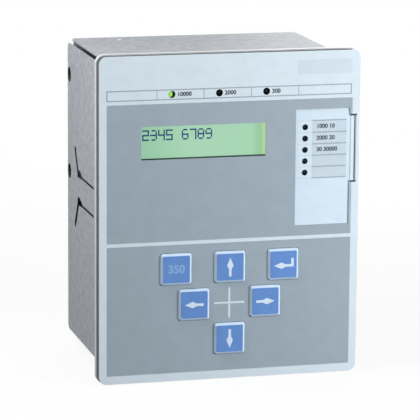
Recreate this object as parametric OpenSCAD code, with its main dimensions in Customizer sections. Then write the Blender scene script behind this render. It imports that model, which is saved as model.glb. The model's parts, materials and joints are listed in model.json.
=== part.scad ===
// Flush-mounted protection relay
// A folded steel case carries a moulded front with a display, lamps, a pull-out legend card and
// six keys. Two boards inside carry the current terminals and the pluggable terminals behind.
// Millimetres. X runs to the right, Y to the rear and Z up.

/* [Front film] */
// Width of the front film
film_w = 131.2; // [129:0.2:150]
// Height of the front film
film_h = 162; // [160:0.5:180]
// Corner radius of the front film
film_corner = 3.9; // [3.5:0.1:8]
// Thickness of the front film
film_t = 0.4; // [0.3:0.05:0.8]
// Thickness of the printed fields let into the film
field_t = 0.15; // [0.1:0.05:0.2]
// Pale border at the left and right of the printed fields
field_border = 3.8; // [2:0.1:6]
// Pale border under the lower field
field_bottom = 4.1; // [2:0.1:8]
// Height of the lower field's top edge
divider_low = 68.5; // [66:0.1:69]
// Width of the pale line between the fields
divider_w = 1.8; // [1:0.1:3]
// Pale border over the upper field, where the status lamps sit
field_head = 23.6; // [22:0.1:26]

/* [Fascia and frame] */
// How far the fascia's sides lie inside the film's edge
fascia_inset = 0.2; // [0:0.1:0.6]
// Depth of the fascia moulding
fascia_depth = 4.5; // [4.3:0.1:7]
// Thickness of the fascia's front wall
fascia_wall = 2; // [1.6:0.1:2.4]
// Thickness of the fascia's skirt
skirt_t = 2.2; // [1.6:0.1:2.8]
// How far the frame stands out beyond the film
frame_lip = 0.4; // [0.2:0.1:2]
// Thickness of the frame
frame_t = 3.3; // [2.4:0.1:5]
// Width of the frame's strips at the sides, from the film's edge
frame_side = 10.1; // [9:0.1:11]
// Width of the frame's strips at top and bottom, from the film's edge
frame_strip = 15.4; // [14.6:0.1:15.8]
// Corner radius of the frame's opening
frame_open_r = 3; // [2:0.5:5]
// Thickness of the panel gasket
gasket_t = 1.5; // [1:0.1:3]
// How far the gasket's edge lies inside the frame's edge
gasket_inset = 0.8; // [0.4:0.1:1.5]
// Gap between the gasket and the case
gasket_clear = 0.3; // [0.1:0.1:0.8]

/* [Display] */
// Distance of the display window from the film's left edge
window_left = 20.9; // [19:0.1:23]
// Distance of the display window from the film's top edge
window_drop = 34.6; // [33:0.1:36]
// Gap between the display window and the card's window
window_gap = 15.3; // [13:0.1:18]
// Height of the display window
window_h = 16.4; // [14:0.2:18]
// How far the fascia's opening is larger than the display window, on each side
window_relief = 0.6; // [0.2:0.1:1]
// How far the glass shows past the display window inside its black frame, on each side
view_side = 1.1; // [0.8:0.1:1.8]
// Depth of the display glass behind the fascia's front wall
glass_depth = 2; // [1:0.1:3]
// How far the display glass reaches past the display window, on each side
glass_side = 3.8; // [2.8:0.1:4.8]
// Height of the display glass
glass_h = 24; // [20:0.5:26]
// Thickness of the display glass and of its backlight, each
glass_t = 1.1; // [0.8:0.1:1.5]
// Wall of the display's black frame
lcd_wall = 1; // [0.6:0.1:1.5]
// Gap round the display glass in its frame
glass_clear = 0.1; // [0.05:0.05:0.3]
// How far the display's board reaches past the display window, on each side
lcd_board_side = 8.8; // [7.8:0.1:9.6]
// Height of the display's board
lcd_board_h = 36; // [32:0.5:36.5]
// Radius of the spacers behind the display's board
lcd_spacer_r = 2.5; // [1.5:0.1:3]
// Distance of the spacers from the edges of the display's board
lcd_spacer_edge = 3; // [3:0.1:5]

/* [Legend card] */
// Distance of the card's window from the film's right edge
card_edge = 4.8; // [4.4:0.1:6]
// Distance of the card's window from the film's top edge
card_drop = 28.8; // [27:0.1:30]
// Width of the card's window
card_w = 27.8; // [25:0.1:28.2]
// Distance of the card's window from the pale line under it
card_foot = 5.2; // [3:0.1:8]
// How far the card reaches under the film round its window
card_under = 1; // [0.5:0.1:1.5]
// Thickness of the card
card_t = 0.4; // [0.2:0.05:0.5]
// Depth of the card's pocket in the fascia
pocket_depth = 0.8; // [0.7:0.05:1]
// Gap between the edges of the card and its pocket
card_clear = 0.3; // [0.2:0.05:0.6]
// Width of the thumb notch at the right of the card's window
notch_w = 2.7; // [2:0.1:3]
// Distance of the thumb notch from the top of the card's window
notch_drop = 3.8; // [2:0.1:20]
// Height of the thumb notch
notch_h = 32.4; // [24:0.1:34]

/* [Lamps] */
// Radius of a lamp
lamp_r = 1.5; // [1.2:0.1:1.6]
// Gap round a lamp in the fascia
lamp_clear = 0.25; // [0.15:0.05:0.4]
// Radius of a lamp's foot
lamp_foot_r = 1.9; // [1.7:0.1:2.1]
// Thickness of a lamp's foot
lamp_foot_t = 1; // [0.6:0.1:1.5]
// Length of a lamp's body
lamp_len = 4.6; // [4:0.1:5]
// Width of a lamp's legs
lamp_leg = 0.6; // [0.4:0.1:0.8]
// Spacing of a lamp's legs
lamp_leg_pitch = 2; // [1.6:0.1:2.4]
// Distance of the status lamps from the film's top edge
status_drop = 19.15; // [18.5:0.05:20]
// Number of status lamps, the first of them lit
status_count = 3; // [2:1:3]
// Distance of the first status lamp from the film's left edge
status_left = 36; // [34:0.1:38]
// Spacing of the status lamps
status_pitch = 23.75; // [22:0.05:25]
// Depth of a status lamp's tip behind the film's face
status_depth = 0.9; // [0.5:0.1:1.2]
// Number of alarm lamps
alarm_count = 5; // [3:1:6]
// Distance of the alarm lamps from the left of the card's window
alarm_in = 4.95; // [4:0.05:6]
// Distance of the top alarm lamp from the top of the card's window
alarm_drop = 8.95; // [6:0.05:12]
// Spacing of the alarm lamps
alarm_pitch = 5.65; // [5:0.05:6]

/* [Keys] */
// Side of a square key
key_size = 15.7; // [14:0.1:15.9]
// Corner radius of a key
key_corner = 1.2; // [0.8:0.1:2]
// How far a key stands out of the film
key_rise = 1.2; // [1.1:0.05:1.6]
// Width of a key's bevel
key_bevel = 0.9; // [0.5:0.05:1.2]
// Depth of a key's bevel
key_bevel_depth = 0.9; // [0.5:0.05:1]
// Gap between a key and its opening
key_gap = 0.25; // [0.2:0.05:0.4]
// How far a key's flange reaches behind the fascia
key_flange = 0.8; // [0.5:0.05:0.9]
// Thickness of a key's flange
key_flange_t = 1.2; // [0.8:0.1:1.5]
// Gap in front of a key's flange at rest
key_seat_gap = 0.1; // [0.05:0.05:0.2]
// Radius of a key's stem
key_stem_r = 1.7; // [1.4:0.1:1.8]
// Travel of a key
key_travel = 0.8; // [0.5:0.1:0.9]
// Side of the blue inlay on a key
inlay_size = 13.4; // [11:0.1:13.6]
// Corner radius of the blue inlay
inlay_corner = 0.7; // [0.5:0.1:1.5]
// Thickness of the blue inlay
inlay_t = 0.3; // [0.25:0.05:0.4]
// Depth of the inlay's seat in the key
inlay_seat = 0.15; // [0.1:0.05:0.2]
// Sideways place of the outer keys of the top row
key_outer_x = 27.2; // [26.4:0.1:29]
// Sideways place of the keys of the middle row
key_inner_x = 18.1; // [17.8:0.1:19]
// Height of the top row of keys
key_top_z = 56.4; // [56.2:0.1:57]
// Height of the middle row of keys
key_mid_z = 38.25; // [38:0.05:38.5]
// Height of the bottom key
key_low_z = 20.3; // [19.9:0.1:20.6]
// Length of the arms of the pale cross between the keys
cross_len = 15.4; // [12:0.1:16.5]
// Width of the arms of the pale cross
cross_w = 1; // [0.8:0.1:2]
// Side of a push switch
switch_size = 6.2; // [5.6:0.1:6.6]
// Height of a push switch
switch_h = 3.5; // [3:0.1:4]
// Gap round a key's stem in its switch
stem_clear = 0.3; // [0.2:0.05:0.4]
// How far a key's stem reaches into its switch at rest
stem_entry = 1.3; // [1:0.1:1.6]
// Spare depth under a pressed stem
stem_spare = 0.5; // [0.2:0.1:0.7]

/* [Operator board] */
// Height of the bosses between the fascia's wall and the operator board
boss_h = 8.6; // [8.4:0.1:10]
// Radius of the screw bosses
boss_r = 3; // [2.4:0.1:3.2]
// Distance of the operator board from the film's left and right edges
hmi_side = 11.6; // [10.6:0.1:12]
// Distance of the operator board from the film's bottom edge
hmi_bottom = 16.5; // [16:0.1:17]
// Distance of the operator board from the film's top edge
hmi_head = 15.5; // [15:0.1:16.2]
// Thickness of all circuit boards
board_t = 1.6; // [1.2:0.1:2]
// Distance of the operator board's screws from its sides
hmi_screw_side = 4; // [3.2:0.1:4.5]
// Distance of the outer screws from the operator board's top and bottom
hmi_screw_edge = 3.2; // [3:0.1:4]
// Height of the middle screws of the operator board
hmi_screw_mid = 73; // [68:0.5:80]

/* [Screws] */
// Radius of the small self-tapping screws
tap_r = 1.2; // [1:0.05:1.3]
// Radius of the small screws' heads
tap_head_r = 2.4; // [2.2:0.1:2.6]
// Length of the small screws under the head
tap_len = 5.5; // [5:0.5:7]
// Radius of the case and pillar screws
bolt_r = 1.5; // [1.4:0.05:1.6]
// Radius of the case and pillar screws' heads
bolt_head_r = 2.8; // [2.5:0.1:3]
// Thickness of all screw heads
head_t = 1.8; // [1.4:0.1:2]
// Radial gap of a screw in its hole
screw_gap = 0.08; // [0.05:0.01:0.15]
// Distance of the fascia's screws from the film's left and right edges
fascia_screw_side = 17.6; // [16:0.1:20]
// Distance of the frame's screws from the case's sides
frame_screw_side = 36.3; // [34:0.1:39]
// Distance of the frame's and fascia's screws from the film's top and bottom edges
strip_screw_edge = 9.8; // [9.4:0.1:10.2]
// How far the frame's screws reach past the case's lips
frame_screw_past = 2; // [1:0.1:3]

/* [Case] */
// How far the film reaches past the case's sides
case_side = 4.3; // [3.5:0.1:5]
// How far the film reaches below the case
case_bottom = 4.5; // [3.5:0.1:5]
// How far the film reaches above the case
case_head = 3.9; // [3.5:0.1:5]
// Depth of the case behind the frame
case_depth = 87.1; // [84:0.1:120]
// Thickness of the case's sheet
sheet_t = 1; // [0.8:0.1:1.2]
// Inner radius of the bends round the rear panel
bend_in = 1; // [0.6:0.1:3]
// How far each wall stops short of its neighbour's inner face at the open seams
seam_open = 1.1; // [0.2:0.05:1.5]
// Side of the relief notches at the rear corners
corner_notch = 3.4; // [2:0.1:4]
// Width of the inward lips that take the frame's screws
lip_w = 22; // [16:0.5:24]
// Depth of the inward lips
lip_h = 10; // [9.6:0.1:10.6]
// Radius of the holes at the rear edge of the sides
side_hole_r = 3.8; // [2.5:0.1:4]
// Distance of those holes from the rear panel
side_hole_rear = 5.9; // [5.8:0.1:8]
// Height of the lower side hole
side_hole_z = 90.3; // [85:0.1:95]
// Spacing of the side holes
side_hole_pitch = 50; // [40:0.5:55]
// Radius of the two small holes in the top
top_hole_r = 1.7; // [1.2:0.1:2.5]
// Distance of the top's holes from the sides
top_hole_side = 24.3; // [20:0.1:30]
// Distance of the top's holes from the rear panel
top_hole_rear = 11.3; // [8:0.1:15]

/* [Sprung corners] */
// Width of the slits that free the sprung corners
slit_w = 1.2; // [0.6:0.1:1.4]
// Width of the slits' upright legs
slit_leg_w = 3.4; // [1:0.1:4]
// How much the holes at the slits' ends widen them on each side
slit_relief = 0.1; // [0.05:0.05:0.3]
// Distance of the slits' front ends from the frame
slit_front = 24; // [15:0.5:30]
// Distance of the sprung corners from the rear panel
slit_corner = 29.3; // [27:0.1:35]
// Height of the upper slit
slit_upper_z = 91.8; // [90:0.1:94]
// Height of the lower slit
slit_lower_z = 77.6; // [74:0.1:80]
// Length of the slits' upright legs
slit_leg = 12; // [8:0.5:15]
// How far the upright legs lean to the rear
slit_lean = 9; // [4:0.5:10]
// Height of the opening at a sprung corner
slit_open = 3; // [1.5:0.1:3.5]
// Length of the opening at a sprung corner
slit_open_len = 8.5; // [5:0.5:10]
// How far the holes and slits are punched past the inner face of the sides
punch_past = 0.3; // [0.1:0.1:1]

/* [Inner boards] */
// Height of the pillars under the lower board
low_pillar = 12; // [9:0.5:14]
// Height of the pillars between the boards
high_pillar = 76; // [72:0.5:80]
// Size across the flats of the pillars
pillar_af = 5.5; // [5:0.1:6]
// Depth of the threaded holes in the pillars
pillar_bore = 7; // [5:0.1:8]
// Spare depth at the end of a screw in a pillar
pillar_spare = 1; // [0.5:0.1:1.5]
// Gap between the inner boards and the case's sides
board_side = 5.3; // [4:0.1:6]
// Distance of the inner boards' front edges from the frame
board_front = 16; // [15.5:0.5:18]
// Gap between the inner boards and the rear panel
board_rear = 2.3; // [1.8:0.1:3]
// Distance of the pillars from the boards' side edges
pillar_side = 3.6; // [3.4:0.1:4]
// Distance of the pillars from the boards' front and rear edges
pillar_end = 5; // [4.5:0.1:7]
// Gap between the front pillars and the capacitors and processor behind them
pillar_gap = 1; // [0.5:0.1:2]
// Number of current transformers
ct_count = 4; // [3:1:4]
// Width of a current transformer
ct_w = 20; // [18:0.5:21]
// Depth of a current transformer
ct_d = 24; // [20:0.5:26]
// Height of a current transformer
ct_h = 26; // [22:0.5:30]
// Distance of the current transformers from the board's front edge
ct_front = 14; // [10:0.5:18]
// Radius of the current transformers' edges
ct_round = 3; // [1:0.5:5]
// Number of output relays
relay_count = 4; // [2:1:4]
// Width of an output relay
relay_w = 10; // [8:0.5:11]
// Depth of an output relay
relay_d = 20; // [18:0.5:21]
// Height of an output relay
relay_h = 16; // [12:0.5:20]
// Distance of the last output relay from the board's right edge
relay_side = 7; // [5:0.5:9]
// Side of the power transformer
trafo_w = 28; // [24:0.5:30]
// Height of the power transformer
trafo_h = 22; // [18:0.5:26]
// Thickness of the power transformer's core
trafo_core = 12; // [9:0.5:14]
// Width of the power transformer's winding
trafo_coil = 22; // [18:0.5:23]
// How far the winding stays inside the core at its top and bottom
trafo_cheek = 3; // [2:0.5:5]
// Distance of the power transformer from the board's left edge
trafo_side = 13.5; // [11:0.5:15]
// Radius of a supply capacitor
cap_r = 6.5; // [5:0.1:7]
// Height of a supply capacitor
cap_h = 21; // [16:0.5:25]
// Spacing of the supply capacitors
cap_pitch = 15; // [14.5:0.5:16]
// Gap between the supply capacitors and the ribbon header
cap_gap = 1.5; // [1:0.1:2]
// Side of the processor
chip_w = 20; // [14:0.5:22]
// Thickness of the processor
chip_t = 1.8; // [1.4:0.1:2.4]
// Gap between the processor and the ribbon header
chip_gap = 7; // [4:0.5:9]
// Width of the ribbon cables
ribbon_w = 26; // [20:0.5:28]
// Thickness of the ribbon cables
ribbon_t = 0.9; // [0.7:0.1:1.2]
// Bend radius of the ribbon cable
ribbon_bend = 5; // [3:0.5:6]
// Width of the ribbon headers
header_w = 30; // [29:0.5:34]
// Depth of the ribbon headers
header_d = 8; // [6:0.5:9]
// Height of the ribbon headers
header_h = 9; // [8:0.5:10]
// Height of the operator board's ribbon header
header_z = 50; // [46:0.5:54]
// Distance of the front ribbon header from the lower board's front edge
header_front = 1.8; // [1:0.1:3]
// Distance of the link cable from the front cable
link_gap = 14; // [12:0.5:16]

/* [Current terminals] */
// Distance of the current terminal block's ends from the pillars' middles
ct_block_side = 11; // [9.5:0.1:12]
// End wall of the current terminal block
ct_end = 1.2; // [1:0.1:2]
// Height of the current terminal block
ct_block_h = 22; // [20:0.5:24]
// How far the block stands out behind the case
ct_out = 8; // [6:0.5:12]
// How far the block reaches into the case
ct_in = 15; // [12:0.5:18]
// Side of a wire entry of the current terminals
ct_entry = 3.8; // [3:0.1:3.9]
// Depth of a wire entry of the current terminals
ct_entry_depth = 10; // [6:0.5:12]
// Height of the wire entries above the block's bottom
ct_entry_z = 5.6; // [4:0.1:6]
// Height of the clamp screws above the block's bottom
ct_screw_z = 15.2; // [14:0.1:16]
// Radius of the clamp screws
ct_screw_r = 2.4; // [2:0.1:2.6]
// Length of the clamp screws
ct_screw_len = 6; // [4:0.5:8]
// Depth of the clamp screws' heads behind the block's face
ct_screw_sunk = 1.2; // [0.5:0.1:2]
// Thickness of the ribs between the terminals
ct_rib_t = 1.4; // [1:0.1:1.8]
// How far the ribs stand out
ct_rib = 2; // [1:0.1:3]
// Width of the block's ears behind the rear panel
ct_ear = 9; // [8:0.5:10]
// Thickness of the block's ears
ct_ear_t = 4; // [3:0.5:6]
// Length of the ear screws under the head
ct_ear_screw = 6; // [4.5:0.5:8]
// Gap round blocks and sockets in the rear panel
panel_clear = 0.4; // [0.2:0.1:0.8]

/* [Pluggable terminals] */
// Spacing of the wires on a plug, which has as many of them as there is room for
plug_pitch = 5.08; // [5:0.01:5.2]
// End wall of a plug
plug_end = 1.6; // [1:0.1:2]
// Gap between the two plugs
plug_between = 3; // [2:0.1:5]
// Least gap between the sockets and the pillars beside them
socket_gap = 2.5; // [1:0.1:3]
// Depth of a plug's body behind its socket
plug_d = 16; // [14:0.5:20]
// Height of a plug's body
plug_h = 15; // [14:0.5:17]
// Length of the sloped shoulder of a plug
plug_slope = 5; // [3:0.5:6]
// Height of the plug's rear face
plug_face_h = 8; // [7:0.5:10]
// Height of a plug's nose
nose_h = 7; // [6:0.1:8]
// Length of a plug's nose
nose_len = 7; // [5:0.1:8]
// Gap round a plug's nose in its socket
nose_clear = 0.3; // [0.2:0.05:0.5]
// Wall of the sockets
socket_wall = 1.2; // [1:0.1:1.6]
// Depth of the sockets
socket_d = 12; // [11:0.5:14]
// Gap between a plug and the face of its socket
plug_seat_gap = 0.2; // [0.1:0.05:0.3]
// Side of a contact pin
pin_w = 1; // [0.8:0.1:1.2]
// Length of a contact pin
pin_len = 5; // [3:0.1:5.2]
// Gap round a contact pin in the plug
pin_clear = 0.4; // [0.3:0.05:0.6]
// Side of a wire entry of a plug
plug_entry = 3; // [2:0.1:3.4]
// Depth of a wire entry of a plug
plug_entry_depth = 7; // [4:0.5:8]
// Height of the plug's wire entries above its bottom
plug_entry_z = 3.4; // [3:0.1:4]
// Radius of a plug's clamp screws
plug_screw_r = 1.6; // [1.2:0.1:1.8]
// Length of a plug's clamp screws
plug_screw_len = 5; // [3:0.5:6]
// Depth of a plug's clamp screws under its top
plug_screw_sunk = 0.8; // [0.4:0.1:1.5]

/* [Earth terminal] */
// Radius of the earth stud
earth_r = 2; // [1.5:0.1:2.5]
// Length of the earth stud behind the rear panel
earth_len = 12; // [10:0.5:16]
// Distance of the earth stud from the case's left side
earth_side = 17.3; // [14:0.1:24]
// Height of the earth stud
earth_z = 62; // [50:0.5:75]
// Radius of the earth stud's head inside the case
earth_head_r = 4; // [3:0.1:5]
// Thickness of the earth stud's head
earth_head_t = 1.5; // [1:0.1:2]
// Radius of the earth washer
earth_washer_r = 4.5; // [4:0.1:5.5]
// Thickness of the earth washer
earth_washer_t = 0.8; // [0.5:0.1:1.2]
// Size across the flats of the earth nut
earth_nut_af = 7; // [6:0.1:8]
// Thickness of the earth nut
earth_nut_t = 3.2; // [2.5:0.1:4]

/* [Hidden] */
$fn = 48;

// Overshoot of every cutting tool beyond the face that it cuts
cut = 1;
// Thickness of the two outlines that a key's bevel spans
bevel_edge = 0.1;
// Smallest radius that is left on a rounded outline
least_r = 0.5;

// Places across the front, from the film's edges
divider_high = divider_low + divider_w;
field_top = film_h - field_head;
card_x = film_w / 2 - card_edge - card_w;
card_top = film_h - card_drop;
card_z = divider_high + card_foot;
card_h = card_top - card_z;
window_w = card_x - window_gap - window_left + film_w / 2;
window_x = window_left + window_w / 2 - film_w / 2;
window_z = film_h - window_drop - window_h / 2;
view_w = window_w + 2 * view_side;
glass_w = window_w + 2 * glass_side;
lcd_board_w = window_w + 2 * lcd_board_side;
card_right = card_x + card_w + notch_w;
notch_z = card_top - notch_drop - notch_h;
hmi_w = film_w - 2 * hmi_side;
hmi_h = film_h - hmi_bottom - hmi_head;
hmi_screw_x = hmi_w / 2 - hmi_screw_side;

// Depths behind the front face of the film
wall_back = film_t + fascia_wall;
fascia_back = film_t + fascia_depth;
frame_back = fascia_back + frame_t;
case_back = frame_back + case_depth;
panel_in = case_back - sheet_t;
hmi_front = wall_back + boss_h;
hmi_back = hmi_front + board_t;
glass_front = wall_back + glass_depth;
lcd_back = glass_front + 2 * glass_t;
lcd_board_back = lcd_back + board_t;
pocket_floor = film_t + pocket_depth;
card_front = film_t + (pocket_depth - card_t) / 2;
key_flange_front = wall_back + key_seat_gap;
key_flange_back = key_flange_front + key_flange_t;
switch_front = hmi_front - switch_h;
well_floor = switch_front + stem_entry + key_travel + stem_spare;
plug_front = case_back + plug_seat_gap;
plug_back = plug_front + plug_d;
inlay_front = inlay_seat - key_rise - inlay_t;

// The frame's bottom edge lies on Z = 0 and the part's depth is centred on Y = 0
origin = [0, -(inlay_front + plug_back) / 2, frame_lip];

// Case and its corners
case_w = film_w - 2 * case_side;
case_h = film_h - case_bottom - case_head;
case_top = case_bottom + case_h;
case_mid = case_bottom + case_h / 2;
bend_r = bend_in + sheet_t;
fascia_screw_x = film_w / 2 - fascia_screw_side;
frame_screw_x = case_w / 2 - frame_screw_side;
earth_x = earth_side - case_w / 2;
seam_gap = sheet_t + seam_open;

// Heights
io_bottom = case_bottom + sheet_t + low_pillar;
io_top = io_bottom + board_t;
ct_bottom = io_top + high_pillar;
ct_top = ct_bottom + board_t;
socket_h = nose_h + 2 * nose_clear + 2 * socket_wall;
socket_mid = io_top + socket_h / 2;
plug_bottom = socket_mid - plug_h / 2;

// Widths
board_w = case_w - 2 * sheet_t - 2 * board_side;
pillar_r = pillar_af / sqrt(3);
pillar_x = board_w / 2 - pillar_side;
plug_room = pillar_x - pillar_r - socket_gap - socket_wall - nose_clear - plug_end - plug_between / 2;
plug_poles = floor(plug_room / plug_pitch);
nose_w = plug_poles * plug_pitch;
plug_w = nose_w + 2 * plug_end;
socket_w = nose_w + 2 * nose_clear + 2 * socket_wall;
plug_x = (plug_w + plug_between) / 2;
ct_poles = 2 * ct_count;
ct_block_w = 2 * (pillar_x - ct_block_side);
ct_pole_pitch = (ct_block_w - 2 * ct_end) / ct_poles;
ct_ear_x = ct_block_w / 2 + ct_ear / 2;

// Clamp screws of a plug stand upright in its top, in front of the sloped shoulder
plug_screw_y = plug_front + (plug_d - plug_slope) / 2;
plug_screw_z = plug_bottom + plug_h - plug_screw_sunk - plug_screw_len;

// Inner boards in plan
board_y0 = frame_back + board_front;
board_y1 = panel_in - board_rear;
header_y = board_y0 + header_front + header_d / 2;
link_y = header_y + link_gap;
parts_y = board_y0 + pillar_end + pillar_r + pillar_gap;
ct_pitch = board_w / ct_count;

// The transformer and the relays stand midway between the parts in front and the sockets behind
socket_front = case_back - socket_d;
trafo_x = trafo_side + trafo_w / 2 - board_w / 2;
trafo_y = (parts_y + 2 * cap_r + socket_front) / 2;
relay_y = (parts_y + chip_w + socket_front) / 2;
relay_end = board_w / 2 - relay_side;
relay_pitch = (relay_end - trafo_x - trafo_w / 2) / relay_count;

// Screw and lamp places across the front
hmi_screw_spots = [for (x = [-1, 1] * hmi_screw_x,
    z = [hmi_bottom + hmi_screw_edge, hmi_screw_mid, hmi_bottom + hmi_h - hmi_screw_edge]) [x, z]];
strip_heights = [strip_screw_edge, film_h - strip_screw_edge];
fascia_screw_spots = [for (x = [-1, 1] * fascia_screw_x, z = strip_heights) [x, z]];
frame_screw_spots = [for (x = [-1, 1] * frame_screw_x, z = strip_heights) [x, z]];
status_spots = [for (i = [0 : status_count - 1])
    [status_left - film_w / 2 + i * status_pitch, film_h - status_drop]];
alarm_spots = [for (i = [0 : alarm_count - 1])
    [card_x + alarm_in, card_top - alarm_drop - i * alarm_pitch]];
key_spots = [
    [-key_outer_x, key_top_z], [0, key_top_z], [key_outer_x, key_top_z],
    [-key_inner_x, key_mid_z], [key_inner_x, key_mid_z], [0, key_low_z]
];
pillar_spots = [for (x = [-1, 1] * pillar_x,
    y = [board_y0 + pillar_end, board_y1 - pillar_end]) [x, y]];

// Placing and drawing helpers
module placed() {
    translate(origin) children();
}

// Outline drawn in X and Z, made solid from depth y to depth y + t
module slab(y, t) {
    translate([0, y + t, 0]) rotate([90, 0, 0]) linear_extrude(t) children();
}

// Outline drawn in Y and Z, made solid from x to x + w
module rail(x, w) {
    translate([x, 0, 0]) rotate([90, 0, 90]) linear_extrude(w) children();
}

// Round bar along Y
module bar(spot, y, t, r) {
    translate([spot[0], y + t, spot[1]]) rotate([90, 0, 0]) cylinder(h = t, r = r);
}

module round_rect(w, h, r) {
    square([w - 2 * r, h], center = true);
    square([w, h - 2 * r], center = true);
    for (x = [-1, 1] * (w / 2 - r), z = [-1, 1] * (h / 2 - r)) translate([x, z]) circle(r);
}

// Outline of the front, grown or shrunk evenly
module front_outline(grow) {
    translate([0, film_h / 2])
        round_rect(film_w + 2 * grow, film_h + 2 * grow, max(film_corner + grow, least_r));
}

module window_outline(grow) {
    translate([window_x, window_z])
        square([window_w + 2 * grow, window_h + 2 * grow], center = true);
}

module card_outline() {
    translate([card_x, card_z]) square([card_w, card_h]);
}

module notch_outline() {
    translate([card_x + card_w, notch_z]) square([notch_w, notch_h]);
}

module key_outline(grow) {
    round_rect(key_size + 2 * grow, key_size + 2 * grow, key_corner + grow);
}

module key_openings() {
    for (spot = key_spots) translate(spot) key_outline(key_gap);
}

module display_field_outline() {
    difference() {
        translate([field_border - film_w / 2, divider_high])
            square([film_w - 2 * field_border, field_top - divider_high]);
        window_outline(0);
        card_outline();
        notch_outline();
    }
}

module keypad_field_outline() {
    difference() {
        translate([field_border - film_w / 2, field_bottom])
            square([film_w - 2 * field_border, divider_low - field_bottom]);
        key_openings();
        translate([0, key_mid_z]) {
            square([cross_len, cross_w], center = true);
            square([cross_w, cross_len], center = true);
        }
    }
}

// Front film and its colours

module front_film() {
    placed() color("#d2e0e8") difference() {
        slab(0, film_t) difference() {
            front_outline(0);
            window_outline(0);
            card_outline();
            notch_outline();
            key_openings();
            for (spot = status_spots) translate(spot) circle(lamp_r + lamp_clear);
        }
        slab(-cut, field_t + cut) display_field_outline();
        slab(-cut, field_t + cut) keypad_field_outline();
    }
}

module display_field() {
    placed() color("#98a8b2") slab(0, field_t) display_field_outline();
}

module keypad_field() {
    placed() color("#98a8b2") slab(0, field_t) keypad_field_outline();
}

module display_window() {
    placed() color("#dfeee4", 0.35) slab(0, film_t) window_outline(0);
}

module card_window() {
    placed() color("#e6eef4", 0.35) slab(0, film_t) card_outline();
}

module legend_card() {
    placed() color("#d8e8f4") slab(card_front, card_t) difference() {
        translate([card_x - card_under, card_z - card_under])
            square([card_right + card_under - card_x - card_clear, card_h + 2 * card_under]);
        for (spot = alarm_spots) translate(spot) circle(lamp_r);
    }
}

// Fascia, frame and gasket

module fascia() {
    pilot_r = tap_r + screw_gap;
    placed() color("#54595d") difference() {
        union() {
            slab(film_t, fascia_wall) front_outline(-fascia_inset);
            slab(film_t, fascia_depth) difference() {
                front_outline(-fascia_inset);
                front_outline(-fascia_inset - skirt_t);
            }
            for (spot = hmi_screw_spots) bar(spot, wall_back, boss_h, boss_r);
            for (spot = fascia_screw_spots)
                bar(spot, wall_back, fascia_back - wall_back, boss_r);
        }
        slab(-cut, wall_back + 2 * cut) window_outline(window_relief);
        slab(-cut, wall_back + 2 * cut) key_openings();
        slab(film_t - cut, pocket_depth + cut)
            translate([card_x - card_under - card_clear, card_z - card_under - card_clear])
                square([film_w, card_h + 2 * card_under + 2 * card_clear]);
        for (spot = concat(status_spots, alarm_spots))
            bar(spot, -cut, wall_back + 2 * cut, lamp_r + lamp_clear);
        for (spot = hmi_screw_spots) bar(spot, hmi_front - tap_len, tap_len + cut, pilot_r);
        for (spot = fascia_screw_spots)
            bar(spot, frame_back - tap_len, tap_len + cut, pilot_r);
    }
}

module front_frame() {
    placed() color("#d3d5d5") difference() {
        slab(fascia_back, frame_t) difference() {
            front_outline(frame_lip);
            translate([0, film_h / 2])
                round_rect(film_w - 2 * frame_side, film_h - 2 * frame_strip, frame_open_r);
        }
        for (spot = fascia_screw_spots)
            bar(spot, fascia_back - cut, frame_t + 2 * cut, tap_r + screw_gap);
        for (spot = frame_screw_spots) {
            bar(spot, fascia_back - cut, frame_t + 2 * cut, bolt_r + screw_gap);
            bar(spot, fascia_back - cut, head_t + cut, bolt_head_r + screw_gap);
        }
    }
}

module panel_gasket() {
    placed() color("#26282a") slab(frame_back, gasket_t) difference() {
        front_outline(frame_lip - gasket_inset);
        translate([0, case_mid])
            square([case_w + 2 * gasket_clear, case_h + 2 * gasket_clear], center = true);
    }
}

module fascia_screws() {
    placed() color("#b8babc") for (spot = fascia_screw_spots) {
        bar(spot, frame_back, head_t, tap_head_r);
        bar(spot, frame_back - tap_len, tap_len, tap_r);
    }
}

module frame_screws() {
    reach = frame_t - head_t + sheet_t + frame_screw_past;
    placed() color("#b8babc") for (spot = frame_screw_spots) {
        bar(spot, fascia_back, head_t, bolt_head_r);
        bar(spot, fascia_back + head_t, reach, bolt_r);
    }
}

// Display module

module lcd_frame() {
    placed() color("#1c1e20") translate([window_x, 0, window_z]) difference() {
        slab(wall_back, lcd_back - wall_back)
            square([glass_w + 2 * lcd_wall, glass_h + 2 * lcd_wall], center = true);
        slab(wall_back - cut, lcd_back - wall_back + 2 * cut)
            square([view_w, window_h], center = true);
        slab(glass_front, lcd_back - glass_front + cut)
            square([glass_w + 2 * glass_clear, glass_h + 2 * glass_clear], center = true);
    }
}

module lcd_glass() {
    placed() color("#9ccca8") translate([window_x, 0, window_z])
        slab(glass_front, glass_t) square([glass_w, glass_h], center = true);
}

module lcd_backlight() {
    placed() color("#eef2dc") translate([window_x, 0, window_z])
        slab(glass_front + glass_t, glass_t) square([glass_w, glass_h], center = true);
}

module lcd_board() {
    placed() color("#2f6b45") translate([window_x, 0, window_z])
        slab(lcd_back, board_t) square([lcd_board_w, lcd_board_h], center = true);
}

module lcd_spacers() {
    x = lcd_board_w / 2 - lcd_spacer_edge;
    z = lcd_board_h / 2 - lcd_spacer_edge;
    placed() color("#d8d4c4") for (sx = [-1, 1], sz = [-1, 1])
        bar([window_x + sx * x, window_z + sz * z], lcd_board_back, hmi_front - lcd_board_back,
            lcd_spacer_r);
}

// Lamps, operator board and switches

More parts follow.
